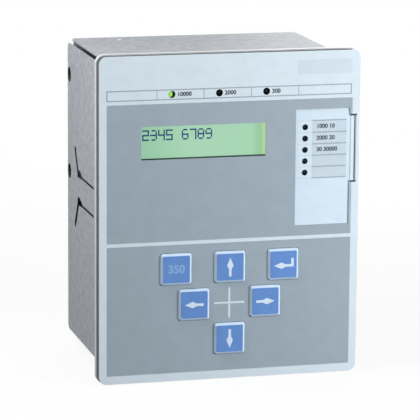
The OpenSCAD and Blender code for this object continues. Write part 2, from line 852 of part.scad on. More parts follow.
// Lamp with a round tip at depth tip, standing on its legs on the operator board
module lamp(spot, tip) {
    foot = tip + lamp_len;
    translate([spot[0], tip + lamp_r, spot[1]]) sphere(lamp_r);
    bar(spot, tip + lamp_r, lamp_len - lamp_r, lamp_r);
    bar(spot, foot - lamp_foot_t, lamp_foot_t, lamp_foot_r);
    for (side = [-1, 1])
        translate([spot[0] + side * lamp_leg_pitch / 2 - lamp_leg / 2, foot, spot[1] - lamp_leg / 2])
            cube([lamp_leg, hmi_front - foot, lamp_leg]);
}

module ready_led() {
    placed() color("#4fc23c") lamp(status_spots[0], status_depth);
}

module status_leds() {
    placed() color("#222528") for (i = [1 : len(status_spots) - 1])
        lamp(status_spots[i], status_depth);
}

module alarm_leds() {
    placed() color("#222528") for (spot = alarm_spots) lamp(spot, pocket_floor + lamp_clear);
}

module hmi_board() {
    placed() color("#2f6b45") slab(hmi_front, board_t) difference() {
        translate([-hmi_w / 2, hmi_bottom]) square([hmi_w, hmi_h]);
        for (spot = hmi_screw_spots) translate(spot) circle(tap_r + screw_gap);
    }
}

module hmi_screws() {
    placed() color("#b8babc") for (spot = hmi_screw_spots) {
        bar(spot, hmi_back, head_t, tap_head_r);
        bar(spot, hmi_back - tap_len, tap_len, tap_r);
    }
}

module key_switches() {
    placed() color("#303236") for (spot = key_spots) difference() {
        slab(switch_front, switch_h) translate(spot) square(switch_size, center = true);
        bar(spot, switch_front - cut, well_floor - switch_front + cut, key_stem_r + stem_clear);
    }
}

// Keys: a bevelled cap in its opening, a flange behind the fascia and a stem to the switch

module key_cap(i) {
    spot = key_spots[i];
    bevel_back = key_bevel_depth - key_rise;
    placed() color("#c6d8ec") difference() {
        union() {
            hull() {
                slab(-key_rise, bevel_edge) translate(spot) key_outline(-key_bevel, $fn = 32);
                slab(bevel_back, bevel_edge) translate(spot) key_outline(0, $fn = 32);
            }
            slab(bevel_back, key_flange_back - bevel_back) translate(spot) key_outline(0);
            slab(key_flange_front, key_flange_t) translate(spot)
                square(key_size + 2 * key_flange, center = true);
            bar(spot, key_flange_back, switch_front + stem_entry - key_flange_back, key_stem_r);
        }
        slab(-key_rise - cut, inlay_seat + cut) translate(spot)
            round_rect(inlay_size, inlay_size, inlay_corner);
    }
}

module key_inlay(i) {
    placed() color("#648cca") slab(inlay_front, inlay_t) translate(key_spots[i])
        round_rect(inlay_size, inlay_size, inlay_corner);
}

module key_esc() { key_cap(0); }
module key_up() { key_cap(1); }
module key_enter() { key_cap(2); }
module key_left() { key_cap(3); }
module key_right() { key_cap(4); }
module key_down() { key_cap(5); }
module inlay_esc() { key_inlay(0); }
module inlay_up() { key_inlay(1); }
module inlay_enter() { key_inlay(2); }
module inlay_left() { key_inlay(3); }
module inlay_right() { key_inlay(4); }
module inlay_down() { key_inlay(5); }

// Case folded from one sheet: a rear panel, four walls with open seams, and front lips

// Section of the case, open in front, with its rear corners bent
module bent_section(span, y0, y1, r) {
    translate([-span / 2, y0]) square([span, y1 - y0 - r]);
    translate([r - span / 2, y0]) square([span - 2 * r, y1 - y0]);
    for (x = [-1, 1] * (span / 2 - r)) translate([x, y1 - r]) circle(r);
}

// Block bounded by the sheet's outer face, or by its inner face for inset = sheet_t
module case_block(inset, y0) {
    w = case_w - 2 * inset;
    h = case_h - 2 * inset;
    y1 = case_back - inset;
    intersection() {
        translate([0, 0, case_bottom + inset]) linear_extrude(h)
            bent_section(w, y0, y1, bend_r - inset);
        rail(-w / 2, w) translate([0, case_mid]) rotate(-90)
            bent_section(h, y0, y1, bend_r - inset);
    }
}

// Slit of width w from a to b, with a slightly wider round hole at b
module slit(a, b, w) {
    span = b - a;
    translate(a) rotate(atan2(span[1], span[0])) translate([0, -w / 2]) square([norm(span), w]);
    translate(b) circle(w / 2 + slit_relief);
}

// Slits and corner opening of one sprung corner, its leg running up or down
module sprung_corner(z, up) {
    corner = [case_back - slit_corner, z];
    slit(corner, [frame_back + slit_front, z], slit_w);
    slit(corner + [slit_leg_w / 2, 0], corner + [slit_lean, up * slit_leg], slit_leg_w);
    polygon([
        corner + [-slit_leg_w / 2, slit_open],
        corner + [slit_leg_w, slit_open],
        corner + [slit_open_len / 2, -slit_w],
        corner + [-slit_open_len, -slit_w / 2],
        corner + [-slit_open_len, slit_w / 2]
    ]);
}

module side_cuts() {
    sprung_corner(slit_upper_z, 1);
    sprung_corner(slit_lower_z, -1);
    for (i = [0, 1])
        translate([case_back - side_hole_rear, side_hole_z + i * side_hole_pitch])
            circle(side_hole_r);
}

module rear_cuts() {
    translate([-ct_block_w / 2 - panel_clear, ct_top - panel_clear])
        square([ct_block_w + 2 * panel_clear, ct_block_h + 2 * panel_clear]);
    for (x = [-1, 1] * plug_x) translate([x, socket_mid])
        square([socket_w + 2 * panel_clear, socket_h + 2 * panel_clear], center = true);
    for (x = [-1, 1] * ct_ear_x) translate([x, ct_top + ct_block_h / 2])
        circle(bolt_r + screw_gap);
    translate([earth_x, earth_z]) circle(earth_r + screw_gap);
}

module case_shell() {
    punch = cut + sheet_t + punch_past;
    placed() color("#a9adb3") difference() {
        union() {
            difference() {
                case_block(0, frame_back);
                case_block(sheet_t, frame_back - cut);
            }
            slab(frame_back, sheet_t) for (x = [-1, 1] * frame_screw_x) {
                translate([x - lip_w / 2, case_bottom]) square([lip_w, lip_h]);
                translate([x - lip_w / 2, case_top - lip_h]) square([lip_w, lip_h]);
            }
        }
        for (x = [-1, 1] * case_w / 2, z = [case_bottom, case_top]) {
            translate([x - seam_gap, frame_back - cut, z - seam_gap])
                cube([2 * seam_gap, case_depth + 2 * cut, 2 * seam_gap]);
            translate([x - corner_notch, case_back - corner_notch, z - corner_notch])
                cube([2 * corner_notch, corner_notch + cut, 2 * corner_notch]);
        }
        rail(-case_w / 2 - cut, punch) side_cuts();
        rail(case_w / 2 + cut - punch, punch) side_cuts();
        slab(panel_in - cut, sheet_t + 2 * cut) rear_cuts();
        for (spot = frame_screw_spots)
            bar(spot, frame_back - cut, sheet_t + 2 * cut, bolt_r + screw_gap);
        for (spot = pillar_spots) translate([spot[0], spot[1], case_bottom - cut])
            cylinder(h = sheet_t + 2 * cut, r = bolt_r + screw_gap);
        for (x = [-1, 1] * (case_w / 2 - top_hole_side))
            translate([x, case_back - top_hole_rear, case_top - sheet_t - cut])
                cylinder(h = sheet_t + 2 * cut, r = top_hole_r);
    }
}

// Pillars and their screws

module hex_bar(h, af) {
    cylinder(h = h, r = af / sqrt(3), $fn = 6);
}

module base_screws() {
    placed() color("#b8babc") for (spot = pillar_spots) translate([spot[0], spot[1], case_bottom]) {
        translate([0, 0, -head_t]) cylinder(h = head_t, r = bolt_head_r);
        cylinder(h = sheet_t + pillar_bore - pillar_spare, r = bolt_r);
    }
}

module low_pillars() {
    stud = board_t + pillar_bore - pillar_spare;
    placed() color("#c9c3a8") for (spot = pillar_spots)
        translate([spot[0], spot[1], case_bottom + sheet_t]) {
            difference() {
                hex_bar(low_pillar, pillar_af);
                translate([0, 0, -cut]) cylinder(h = pillar_bore + cut, r = bolt_r + screw_gap);
            }
            translate([0, 0, low_pillar]) cylinder(h = stud, r = bolt_r);
        }
}

module high_pillars() {
    placed() color("#c9c3a8") for (spot = pillar_spots) translate([spot[0], spot[1], io_top])
        difference() {
            hex_bar(high_pillar, pillar_af);
            translate([0, 0, -cut]) cylinder(h = pillar_bore + cut, r = bolt_r + screw_gap);
            translate([0, 0, high_pillar - pillar_bore])
                cylinder(h = pillar_bore + cut, r = bolt_r + screw_gap);
        }
}

module pillar_screws() {
    reach = board_t + pillar_bore - pillar_spare;
    placed() color("#b8babc") for (spot = pillar_spots) translate([spot[0], spot[1], ct_top]) {
        cylinder(h = head_t, r = bolt_head_r);
        translate([0, 0, -reach]) cylinder(h = reach, r = bolt_r);
    }
}

// Inner boards and what they carry

module inner_board(z) {
    translate([0, 0, z]) linear_extrude(board_t) difference() {
        translate([-board_w / 2, board_y0]) square([board_w, board_y1 - board_y0]);
        for (spot = pillar_spots) translate(spot) circle(bolt_r + screw_gap);
    }
}

module io_board() {
    placed() color("#2f6b45") inner_board(io_bottom);
}

module ct_board() {
    placed() color("#2f6b45") inner_board(ct_bottom);
}

module current_transformers() {
    placed() color("#2d4f8a") for (i = [0 : ct_count - 1])
        translate([(i - (ct_count - 1) / 2) * ct_pitch, board_y0 + ct_front + ct_d / 2, ct_top])
            linear_extrude(ct_h) round_rect(ct_w, ct_d, ct_round);
}

module output_relays() {
    placed() color("#33363a") for (i = [0 : relay_count - 1])
        translate([relay_end - relay_w - i * relay_pitch, relay_y - relay_d / 2, io_top])
            cube([relay_w, relay_d, relay_h]);
}

module power_transformer() {
    placed() translate([trafo_x, trafo_y, io_top]) {
        color("#6a6d70") translate([-trafo_w / 2, -trafo_core / 2, 0])
            cube([trafo_w, trafo_core, trafo_h]);
        color("#c9a24a") translate([-trafo_coil / 2, -trafo_w / 2, trafo_cheek])
            cube([trafo_coil, trafo_w, trafo_h - 2 * trafo_cheek]);
    }
}

module supply_capacitors() {
    x = header_w / 2 + cap_gap + cap_r;
    placed() color("#2a2f52") for (i = [0, 1])
        translate([-x - i * cap_pitch, parts_y + cap_r, io_top])
            cylinder(h = cap_h, r = cap_r);
}

module processor_chip() {
    placed() color("#26282b")
        translate([header_w / 2 + chip_gap, parts_y, io_top])
            cube([chip_w, chip_w, chip_t]);
}

module ribbon_headers() {
    placed() color("#3a3d41") {
        translate([-header_w / 2, hmi_back, header_z - header_d / 2])
            cube([header_w, header_h, header_d]);
        for (y = [header_y, link_y]) translate([-header_w / 2, y - header_d / 2, io_top])
            cube([header_w, header_d, header_h]);
        translate([-header_w / 2, link_y - header_d / 2, ct_bottom - header_h])
            cube([header_w, header_d, header_h]);
    }
}

// Flat cables: one bends down from the operator board, one links the two inner boards
module ribbon_cables() {
    start = hmi_back + header_h;
    turn_y = header_y - ribbon_t / 2 - ribbon_bend;
    turn_z = header_z + ribbon_t / 2 - ribbon_bend - ribbon_t;
    low = io_top + header_h;
    placed() color("#9aa0a6") {
        rail(-ribbon_w / 2, ribbon_w) {
            translate([start, turn_z + ribbon_bend]) square([turn_y - start, ribbon_t]);
            translate([turn_y, turn_z]) intersection() {
                difference() {
                    circle(ribbon_bend + ribbon_t);
                    circle(ribbon_bend);
                }
                square(ribbon_bend + ribbon_t);
            }
            translate([turn_y + ribbon_bend, low]) square([ribbon_t, turn_z - low]);
        }
        translate([-ribbon_w / 2, link_y - ribbon_t / 2, low])
            cube([ribbon_w, ribbon_t, ct_bottom - header_h - low]);
    }
}

// Current terminals

module ct_terminal_block() {
    front = case_back - ct_in;
    depth = ct_in + ct_out;
    placed() color("#2b2d30") difference() {
        union() {
            translate([-ct_block_w / 2, front, ct_top]) cube([ct_block_w, depth, ct_block_h]);
            translate([-ct_block_w / 2 - ct_ear, panel_in - ct_ear_t, ct_top])
                cube([ct_block_w + 2 * ct_ear, ct_ear_t, ct_block_h]);
            for (i = [0 : ct_poles])
                translate([(i - ct_poles / 2) * ct_pole_pitch - ct_rib_t / 2, front + depth, ct_top])
                    cube([ct_rib_t, ct_rib, ct_block_h]);
        }
        for (i = [0 : ct_poles - 1]) {
            x = (i - ct_poles / 2 + 0.5) * ct_pole_pitch;
            slab(front + depth - ct_entry_depth, ct_entry_depth + cut)
                translate([x, ct_top + ct_entry_z]) square(ct_entry, center = true);
            bar([x, ct_top + ct_screw_z], front + depth - ct_screw_sunk - ct_screw_len,
                ct_screw_len + ct_screw_sunk + cut, ct_screw_r + screw_gap);
        }
        for (x = [-1, 1] * ct_ear_x) bar([x, ct_top + ct_block_h / 2], panel_in - ct_ear_t - cut,
            ct_ear_t + 2 * cut, bolt_r + screw_gap);
    }
}

module ct_terminal_screws() {
    back = case_back + ct_out - ct_screw_sunk;
    placed() color("#c9cbcd") for (i = [0 : ct_poles - 1])
        bar([(i - ct_poles / 2 + 0.5) * ct_pole_pitch, ct_top + ct_screw_z], back - ct_screw_len,
            ct_screw_len, ct_screw_r);
}

module ct_block_screws() {
    placed() color("#b8babc") for (x = [-1, 1] * ct_ear_x) {
        bar([x, ct_top + ct_block_h / 2], case_back, head_t, bolt_head_r);
        bar([x, ct_top + ct_block_h / 2], case_back - ct_ear_screw, ct_ear_screw, bolt_r);
    }
}

// Pluggable terminals

function pole_x(i) = (i - plug_poles / 2 + 0.5) * plug_pitch;

module io_sockets() {
    cavity_d = nose_len + nose_clear;
    placed() color("#3d7a4e") for (x = [-1, 1] * plug_x) translate([x, 0, socket_mid]) {
        difference() {
            slab(socket_front, socket_d) square([socket_w, socket_h], center = true);
            slab(case_back - cavity_d, cavity_d + cut)
                square([nose_w + 2 * nose_clear, nose_h + 2 * nose_clear], center = true);
        }
        for (i = [0 : plug_poles - 1]) slab(case_back - cavity_d - cut, pin_len + cut)
            translate([pole_x(i), 0]) square(pin_w, center = true);
    }
}

module io_plug(side) {
    pin_hole = pin_w + 2 * pin_clear;
    placed() color("#47875a") translate([side * plug_x, 0, 0]) difference() {
        union() {
            rail(-plug_w / 2, plug_w) translate([plug_front, plug_bottom]) polygon([
                [0, 0], [plug_d, 0], [plug_d, plug_face_h], [plug_d - plug_slope, plug_h], [0, plug_h]
            ]);
            slab(case_back - nose_len, nose_len + plug_seat_gap + cut)
                translate([0, socket_mid]) square([nose_w, nose_h], center = true);
        }
        for (i = [0 : plug_poles - 1]) {
            slab(case_back - nose_len - cut, nose_len + cut)
                translate([pole_x(i), socket_mid]) square(pin_hole, center = true);
            slab(plug_back - plug_entry_depth, plug_entry_depth + cut)
                translate([pole_x(i), plug_bottom + plug_entry_z]) square(plug_entry, center = true);
            translate([pole_x(i), plug_screw_y, plug_screw_z])
                cylinder(h = plug_h, r = plug_screw_r + screw_gap);
        }
    }
}

module plug_screws(side) {
    placed() color("#c9cbcd") translate([side * plug_x, plug_screw_y, plug_screw_z])
        for (i = [0 : plug_poles - 1]) translate([pole_x(i), 0, 0])
            cylinder(h = plug_screw_len, r = plug_screw_r);
}

module io_plug_left() { io_plug(-1); }
module io_plug_right() { io_plug(1); }
module plug_screws_left() { plug_screws(-1); }
module plug_screws_right() { plug_screws(1); }

// Earth terminal

module earth_stud() {
    placed() color("#c8b06a") {
        bar([earth_x, earth_z], panel_in - earth_head_t, earth_head_t, earth_head_r);
        bar([earth_x, earth_z], panel_in, sheet_t + earth_len, earth_r);
    }
}

module earth_washer() {
    placed() color("#c9cbcd") difference() {
        bar([earth_x, earth_z], case_back, earth_washer_t, earth_washer_r);
        bar([earth_x, earth_z], case_back - cut, earth_washer_t + 2 * cut, earth_r + screw_gap);
    }
}

module earth_nut() {
    seat = case_back + earth_washer_t;
    placed() color("#c9cbcd") difference() {
        translate([earth_x, seat + earth_nut_t, earth_z]) rotate([90, 0, 0])
            hex_bar(earth_nut_t, earth_nut_af);
        bar([earth_x, earth_z], seat - cut, earth_nut_t + 2 * cut, earth_r + screw_gap);
    }
}

front_film();
display_field();
keypad_field();
display_window();
card_window();
legend_card();
fascia();
front_frame();
panel_gasket();
fascia_screws();
frame_screws();
lcd_frame();
lcd_glass();
lcd_backlight();
lcd_board();
lcd_spacers();
ready_led();
status_leds();
alarm_leds();
hmi_board();
hmi_screws();
key_switches();
key_esc();
key_up();
key_enter();
key_left();
key_right();
key_down();
inlay_esc();
inlay_up();
inlay_enter();
inlay_left();
inlay_right();
inlay_down();
case_shell();
base_screws();
low_pillars();
high_pillars();
pillar_screws();
io_board();
processor_chip();
output_relays();
power_transformer();
supply_capacitors();
io_sockets();
io_plug_left();
io_plug_right();
plug_screws_left();
plug_screws_right();
ct_board();
current_transformers();
ct_terminal_block();
ct_terminal_screws();
ct_block_screws();
ribbon_headers();
ribbon_cables();
earth_stud();
earth_washer();
earth_nut();
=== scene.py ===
# %% [markdown]
# # A protection relay, dressed in Blender
# The relay is a flat steel box that sits in the door of a switchgear panel. Its front is a moulded
# fascia under a printed film, with a small display, lamps, a legend card and six keys. The solids
# come from the CAD frame and keep their places. This lesson gives them softened edges, printed
# marks and real finishes, one step at a time.

# %% Load the frame
import json
from collections import namedtuple
from math import cos, radians, sin

import bmesh
import bpy
from mathutils import Matrix, Vector

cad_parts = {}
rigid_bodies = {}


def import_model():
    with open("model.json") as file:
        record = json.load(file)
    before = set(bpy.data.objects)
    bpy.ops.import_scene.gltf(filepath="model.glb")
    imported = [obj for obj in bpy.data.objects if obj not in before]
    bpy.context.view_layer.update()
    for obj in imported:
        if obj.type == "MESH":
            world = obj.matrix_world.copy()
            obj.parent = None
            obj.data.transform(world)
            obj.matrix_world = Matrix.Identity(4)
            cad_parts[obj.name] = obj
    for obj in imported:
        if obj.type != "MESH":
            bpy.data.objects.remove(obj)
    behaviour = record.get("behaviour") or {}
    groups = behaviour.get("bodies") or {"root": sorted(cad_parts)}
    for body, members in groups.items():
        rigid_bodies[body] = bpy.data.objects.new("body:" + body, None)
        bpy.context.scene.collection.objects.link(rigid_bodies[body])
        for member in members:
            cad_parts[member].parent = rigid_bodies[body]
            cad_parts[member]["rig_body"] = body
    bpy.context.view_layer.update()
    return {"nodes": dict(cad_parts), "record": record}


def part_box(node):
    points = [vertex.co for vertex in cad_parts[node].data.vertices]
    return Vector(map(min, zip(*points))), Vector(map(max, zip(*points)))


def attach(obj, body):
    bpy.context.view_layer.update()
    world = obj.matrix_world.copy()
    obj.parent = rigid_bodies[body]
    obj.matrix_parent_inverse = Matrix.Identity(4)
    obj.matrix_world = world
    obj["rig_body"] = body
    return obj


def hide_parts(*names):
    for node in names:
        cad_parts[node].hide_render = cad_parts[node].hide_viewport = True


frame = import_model()
nodes = frame["nodes"]

# %% [markdown]
# ## Places on the front
# Everything printed on the front is measured from the film, as a print shop would do it: sideways
# from the middle, upwards from the bottom edge and rearwards from the front face, in millimetres.
# One short function turns such a place into Blender's metres, and another reads the six sides of a CAD
# solid in the same millimetres, so that no step repeats the sums.

# %% Measure from the film
MM = 0.001
Box = namedtuple("Box", "left right bottom top front back")
film_low, film_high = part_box("front_film")
film_width = (film_high.x - film_low.x) / MM
film_height = (film_high.z - film_low.z) / MM


def on_front(x, z, depth=0.0):
    return Vector((x * MM, film_low.y + depth * MM, film_low.z + z * MM))


def front_box(node):
    """The six sides of a node in the front's own millimetres."""
    low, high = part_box(node)
    return Box(
        left=low.x / MM, right=high.x / MM,
        bottom=(low.z - film_low.z) / MM, top=(high.z - film_low.z) / MM,
        front=(low.y - film_low.y) / MM, back=(high.y - film_low.y) / MM)


print("film: %.1f x %.1f mm" % (film_width, film_height))

# %% [markdown]
# ## Camera
# The photograph was taken with a long lens from the left and a little above. The place and the three
# angles below were found by matching the edges of the film and of the case. A long lens keeps the
# box's edges nearly parallel, which is why the picture looks so calm.

# %% Place the camera
IMAGE_PX = 420
LENS_PX = 2812
SENSOR_MM = 36.0
FAR_LIMIT = 50
CAMERA_PLACE = Vector((-0.3533, -1.3556, 0.3592))
CAMERA_YAW = radians(14.78)
CAMERA_PITCH = radians(11.5)
CAMERA_ROLL = radians(0.44)


def add_object(name, data):
    """A new object, linked into the scene."""
    thing = bpy.data.objects.new(name, data)
    bpy.context.scene.collection.objects.link(thing)
    return thing


camera_data = bpy.data.cameras.new("relay_camera")
camera_data.sensor_width = SENSOR_MM
camera_data.lens = SENSOR_MM * LENS_PX / IMAGE_PX
camera_data.clip_end = FAR_LIMIT
camera = add_object("relay_camera", camera_data)
camera.matrix_world = (
    Matrix.Translation(CAMERA_PLACE)
    @ Matrix.Rotation(-CAMERA_YAW, 4, "Z")
    @ Matrix.Rotation(radians(90) - CAMERA_PITCH, 4, "X")
    @ Matrix.Rotation(CAMERA_ROLL, 4, "Z")
)
bpy.context.scene.camera = camera
print("camera: %.0f mm lens" % camera_data.lens)

# %% [markdown]
# ## Light and floor
# Product pictures of this kind have a white ground and broad, soft light. The world is white to the
# camera and to reflections, and a weak grey for lighting. Three square lamps give direction. The main
# one stands in front on the right, so the front fades a little towards the left. One high on the left
# makes the left side darker towards the floor, and one behind lights the rear. The floor is white to
# the camera. Near the relay it keeps a share of its own shading, and with it a soft shadow, and to the
# light that bounces off it the floor is grey.

# %% World and lamps
view = bpy.context.scene.view_settings
view.view_transform = "Standard"

WHITE = (1, 1, 1, 1)
SKY_TINT = (0.95, 0.98, 1, 1)
WORLD_LIGHT = 0.2
LAMP_AIM = Vector((0, 0, 0.08))
# Each lamp has its place and the length of its side in metres, and its power in watts.
LAMPS = {
    "main_lamp": ((0.45, -0.45, 0.15), 0.3, 3.85),
    "left_lamp": ((-0.27, -0.09, 0.36), 0.25, 1.29),
    "rear_lamp": ((0.4, 0.8, 0.15), 0.3, 7.0),
}


def seen_directly(tree):
    """A socket that is 1 for camera, glossy and transmission rays."""
    path = tree.nodes.new("ShaderNodeLightPath")
    total = path.outputs["Is Camera Ray"]
    for ray in ("Is Glossy Ray", "Is Transmission Ray"):
        larger = tree.nodes.new("ShaderNodeMath")
        larger.operation = "MAXIMUM"
        tree.links.new(total, larger.inputs[0])
        tree.links.new(path.outputs[ray], larger.inputs[1])
        total = larger.outputs[0]
    return total


def light_the_world():
    world = bpy.data.worlds.new("studio")
    world.use_nodes = True
    tree = world.node_tree
    add = tree.nodes.new
    link = tree.links.new
    tree.nodes.clear()
    ground = add("ShaderNodeBackground")
    ground.inputs["Color"].default_value = WHITE
    ambient = add("ShaderNodeBackground")
    ambient.inputs["Color"].default_value = SKY_TINT
    ambient.inputs["Strength"].default_value = WORLD_LIGHT
    choose = add("ShaderNodeMixShader")
    output = add("ShaderNodeOutputWorld")
    link(seen_directly(tree), choose.inputs["Fac"])
    link(ambient.outputs[0], choose.inputs[1])
    link(ground.outputs[0], choose.inputs[2])
    link(choose.outputs[0], output.inputs["Surface"])
    bpy.context.scene.world = world


def hang_lamp(name, place, size, power):
    data = bpy.data.lights.new(name, "AREA")
    data.shape = "SQUARE"
    data.size = size
    data.energy = power
    lamp = add_object(name, data)
    aim = LAMP_AIM - Vector(place)
    lamp.matrix_world = Matrix.Translation(place) @ aim.to_track_quat("-Z", "Y").to_matrix().to_4x4()


light_the_world()
for lamp_name, (place, size, power) in LAMPS.items():
    hang_lamp(lamp_name, place, size, power)
print("lamps:", ", ".join(LAMPS))

# %% Floor
FLOOR_SIZE = 6.0
# The share of the floor's glow, from one distance in metres to another.
FADE = {"From Min": 0.2, "From Max": 0.6, "To Min": 0.88, "To Max": 1.0}
FLOOR_WHITE = (0.95, 0.95, 0.95, 1)
FLOOR_GREY = (0.18, 0.18, 0.18, 1)


def white_floor():
    """White to the camera, with some of its own shading near the relay, and grey to bounced light."""
    material = bpy.data.materials.new("white_floor")
    material.use_nodes = True
    tree = material.node_tree
    add = tree.nodes.new
    link = tree.links.new
    tree.nodes.clear()
    matt = add("ShaderNodeBsdfDiffuse")
    tone = add("ShaderNodeMixRGB")
    tone.inputs["Color1"].default_value = FLOOR_GREY
    tone.inputs["Color2"].default_value = FLOOR_WHITE
    glow = add("ShaderNodeEmission")
    where = add("ShaderNodeTexCoord")
    away = add("ShaderNodeVectorMath")
    away.operation = "LENGTH"
    fade = add("ShaderNodeMapRange")
    for label, value in FADE.items():
        fade.inputs[label].default_value = value
    share = add("ShaderNodeMath")
    share.operation = "MULTIPLY"
    blend = add("ShaderNodeMixShader")
    output = add("ShaderNodeOutputMaterial")
    seen = seen_directly(tree)
    link(seen, tone.inputs["Fac"])
    link(tone.outputs[0], matt.inputs["Color"])
    link(where.outputs["Object"], away.inputs[0])
    link(away.outputs["Value"], fade.inputs["Value"])
    link(seen, share.inputs[0])
    link(fade.outputs["Result"], share.inputs[1])
    link(share.outputs[0], blend.inputs["Fac"])
    link(matt.outputs[0], blend.inputs[1])
    link(glow.outputs[0], blend.inputs[2])
    link(blend.outputs[0], output.inputs["Surface"])
    return material


def lay_floor():
    half = FLOOR_SIZE / 2
    mesh = bpy.data.meshes.new("floor")
    corners = [(-half, -half, 0), (half, -half, 0), (half, half, 0), (-half, half, 0)]
    mesh.from_pydata(corners, [], [(0, 1, 2, 3)])
    mesh.materials.append(white_floor())
    floor = add_object("floor", mesh)


lay_floor()
print("floor: %.0f m square" % FLOOR_SIZE)

# %% [markdown]
# ## Finishes
# No real surface has one flat colour: a film has a fine grain, zinc has its crystals, a moulding its
# soft texture. A small class collects the few nodes that all finishes share. Each pattern reads
# Object coordinates, so it has a real size and stays on its piece when the piece moves. Sizes are in
# millimetres, and colours are written as a designer reads them off a screen, from 0 to 255.

# %% A helper for finishes
# A wave texture of scale 1 has a band every 0.314 units, and noise lies mostly between 0.3 and 0.7.
WAVE_BAND = 0.314
NOISE_LOW, NOISE_HIGH = 0.3, 0.7
GRAINS_PER_PATCH = 18
PATCH_DETAIL = 4.0
GLOSS_SPREAD = 0.08


def paint(red, green, blue):
    """Screen colour to the linear colour that Blender works in."""
    linear = []
    for value in (red, green, blue):
        share = value / 255
        linear.append(share / 12.92 if share <= 0.04045 else ((share + 0.055) / 1.055) ** 2.4)
    return (*linear, 1.0)


class Finish:
    """A Principled material with a pattern in Object coordinates."""

    def __init__(self, name, roughness=0.5, metallic=0.0, specular=0.3):
        self.material = bpy.data.materials.new(name)
        self.material.use_nodes = True
        self.tree = self.material.node_tree
        self.shader = self.tree.nodes["Principled BSDF"]
        self.shader.inputs["Roughness"].default_value = roughness
        self.shader.inputs["Metallic"].default_value = metallic
        self.shader.inputs["Specular IOR Level"].default_value = specular
        self.place = self.tree.nodes.new("ShaderNodeTexCoord").outputs["Object"]

    def node(self, kind, **settings):
        made = self.tree.nodes.new("ShaderNode" + kind)
        for key, value in settings.items():
            setattr(made, key, value)
        return made

    def join(self, source, target):
        self.tree.links.new(source, target)

    def stretched(self, stretch):
        mapping = self.node("Mapping")
        mapping.inputs["Scale"].default_value = stretch
        self.join(self.place, mapping.inputs["Vector"])
        return mapping.outputs["Vector"]

    def noise(self, size_mm, detail=3.0, stretch=(1, 1, 1)):
        texture = self.node("TexNoise")
        texture.inputs["Scale"].default_value = 1 / (size_mm * MM)
        texture.inputs["Detail"].default_value = detail
        self.join(self.stretched(stretch), texture.inputs["Vector"])
        return texture.outputs["Fac"]

    def waves(self, size_mm, axis):
        texture = self.node("TexWave", bands_direction=axis)
        texture.inputs["Scale"].default_value = WAVE_BAND / (size_mm * MM)
        self.join(self.place, texture.inputs["Vector"])
        return texture.outputs["Fac"]

    def along(self, axis, start_mm, end_mm):
        """0 at start and 1 at end along an axis of the part, in millimetres."""
        split = self.node("SeparateXYZ")
        self.join(self.place, split.inputs[0])
        reach = self.node("MapRange")
        reach.inputs["From Min"].default_value = start_mm * MM
        reach.inputs["From Max"].default_value = end_mm * MM
        self.join(split.outputs[axis], reach.inputs["Value"])
        return reach.outputs["Result"]

    def mixed(self, one, other, share):
        """Two patterns added up, the second one by its share."""
        scaled = self.node("Math", operation="MULTIPLY_ADD")
        scaled.inputs[1].default_value = share
        self.join(other, scaled.inputs[0])
        self.join(one, scaled.inputs[2])
        return scaled.outputs[0]

    def ramp(self, pattern, *stops):
        """Colours along a pattern, each stop a place and a colour."""
        ramp = self.node("ValToRGB")
        elements = ramp.color_ramp.elements
        while len(elements) < len(stops):
            elements.new(0.5)
        for element, (spot, colour) in zip(elements, stops):
            element.position = spot
            element.color = colour
        self.join(pattern, ramp.inputs["Fac"])
        return ramp.outputs["Color"]

    def colour(self, pattern, *stops):
        self.join(self.ramp(pattern, *stops), self.shader.inputs["Base Color"])
        return self

    def gloss(self, pattern, low, high):
        reach = self.node("MapRange")
        reach.inputs["To Min"].default_value = low
        reach.inputs["To Max"].default_value = high
        self.join(pattern, reach.inputs["Value"])
        self.join(reach.outputs["Result"], self.shader.inputs["Roughness"])
        return self

    def relief(self, pattern, height_mm, strength=0.5):
        bump = self.node("Bump")
        bump.inputs["Strength"].default_value = strength
        bump.inputs["Distance"].default_value = height_mm * MM
        self.join(pattern, bump.inputs["Height"])
        self.join(bump.outputs["Normal"], self.shader.inputs["Normal"])
        return self


def shades(colour, spread):
    """Two stops of a ramp: a darker and a lighter neighbour of a screen colour."""
    dark = paint(*[value * (1 - spread) for value in colour])
    light = paint(*[min(255, value * (1 + spread)) for value in colour])
    return (NOISE_LOW, dark), (NOISE_HIGH, light)


def grained(name, colour, spread=0.02, grain_mm=0.6, height_mm=0.03, roughness=0.5, **more):
    """A moulded, printed or painted surface: a fine grain in colour, gloss and relief."""
    finish = Finish(name, roughness, **more)
    grain = finish.noise(grain_mm)
    patches = finish.noise(GRAINS_PER_PATCH * grain_mm, PATCH_DETAIL)
    finish.colour(patches, *shades(colour, spread))
    finish.gloss(grain, roughness - GLOSS_SPREAD, roughness + GLOSS_SPREAD)
    finish.relief(grain, height_mm)
    return finish.material


print("finishes: ready to mix")

# %% [markdown]
# ## Plain finishes, one for each material slot
# The record of the part names its materials. Plastics, films and boards differ mainly in colour,
# gloss and the size of their grain, so one recipe with different sizes serves them. The colours of
# the film, fields and keys are those of the photograph, and hidden parts have their usual colours.

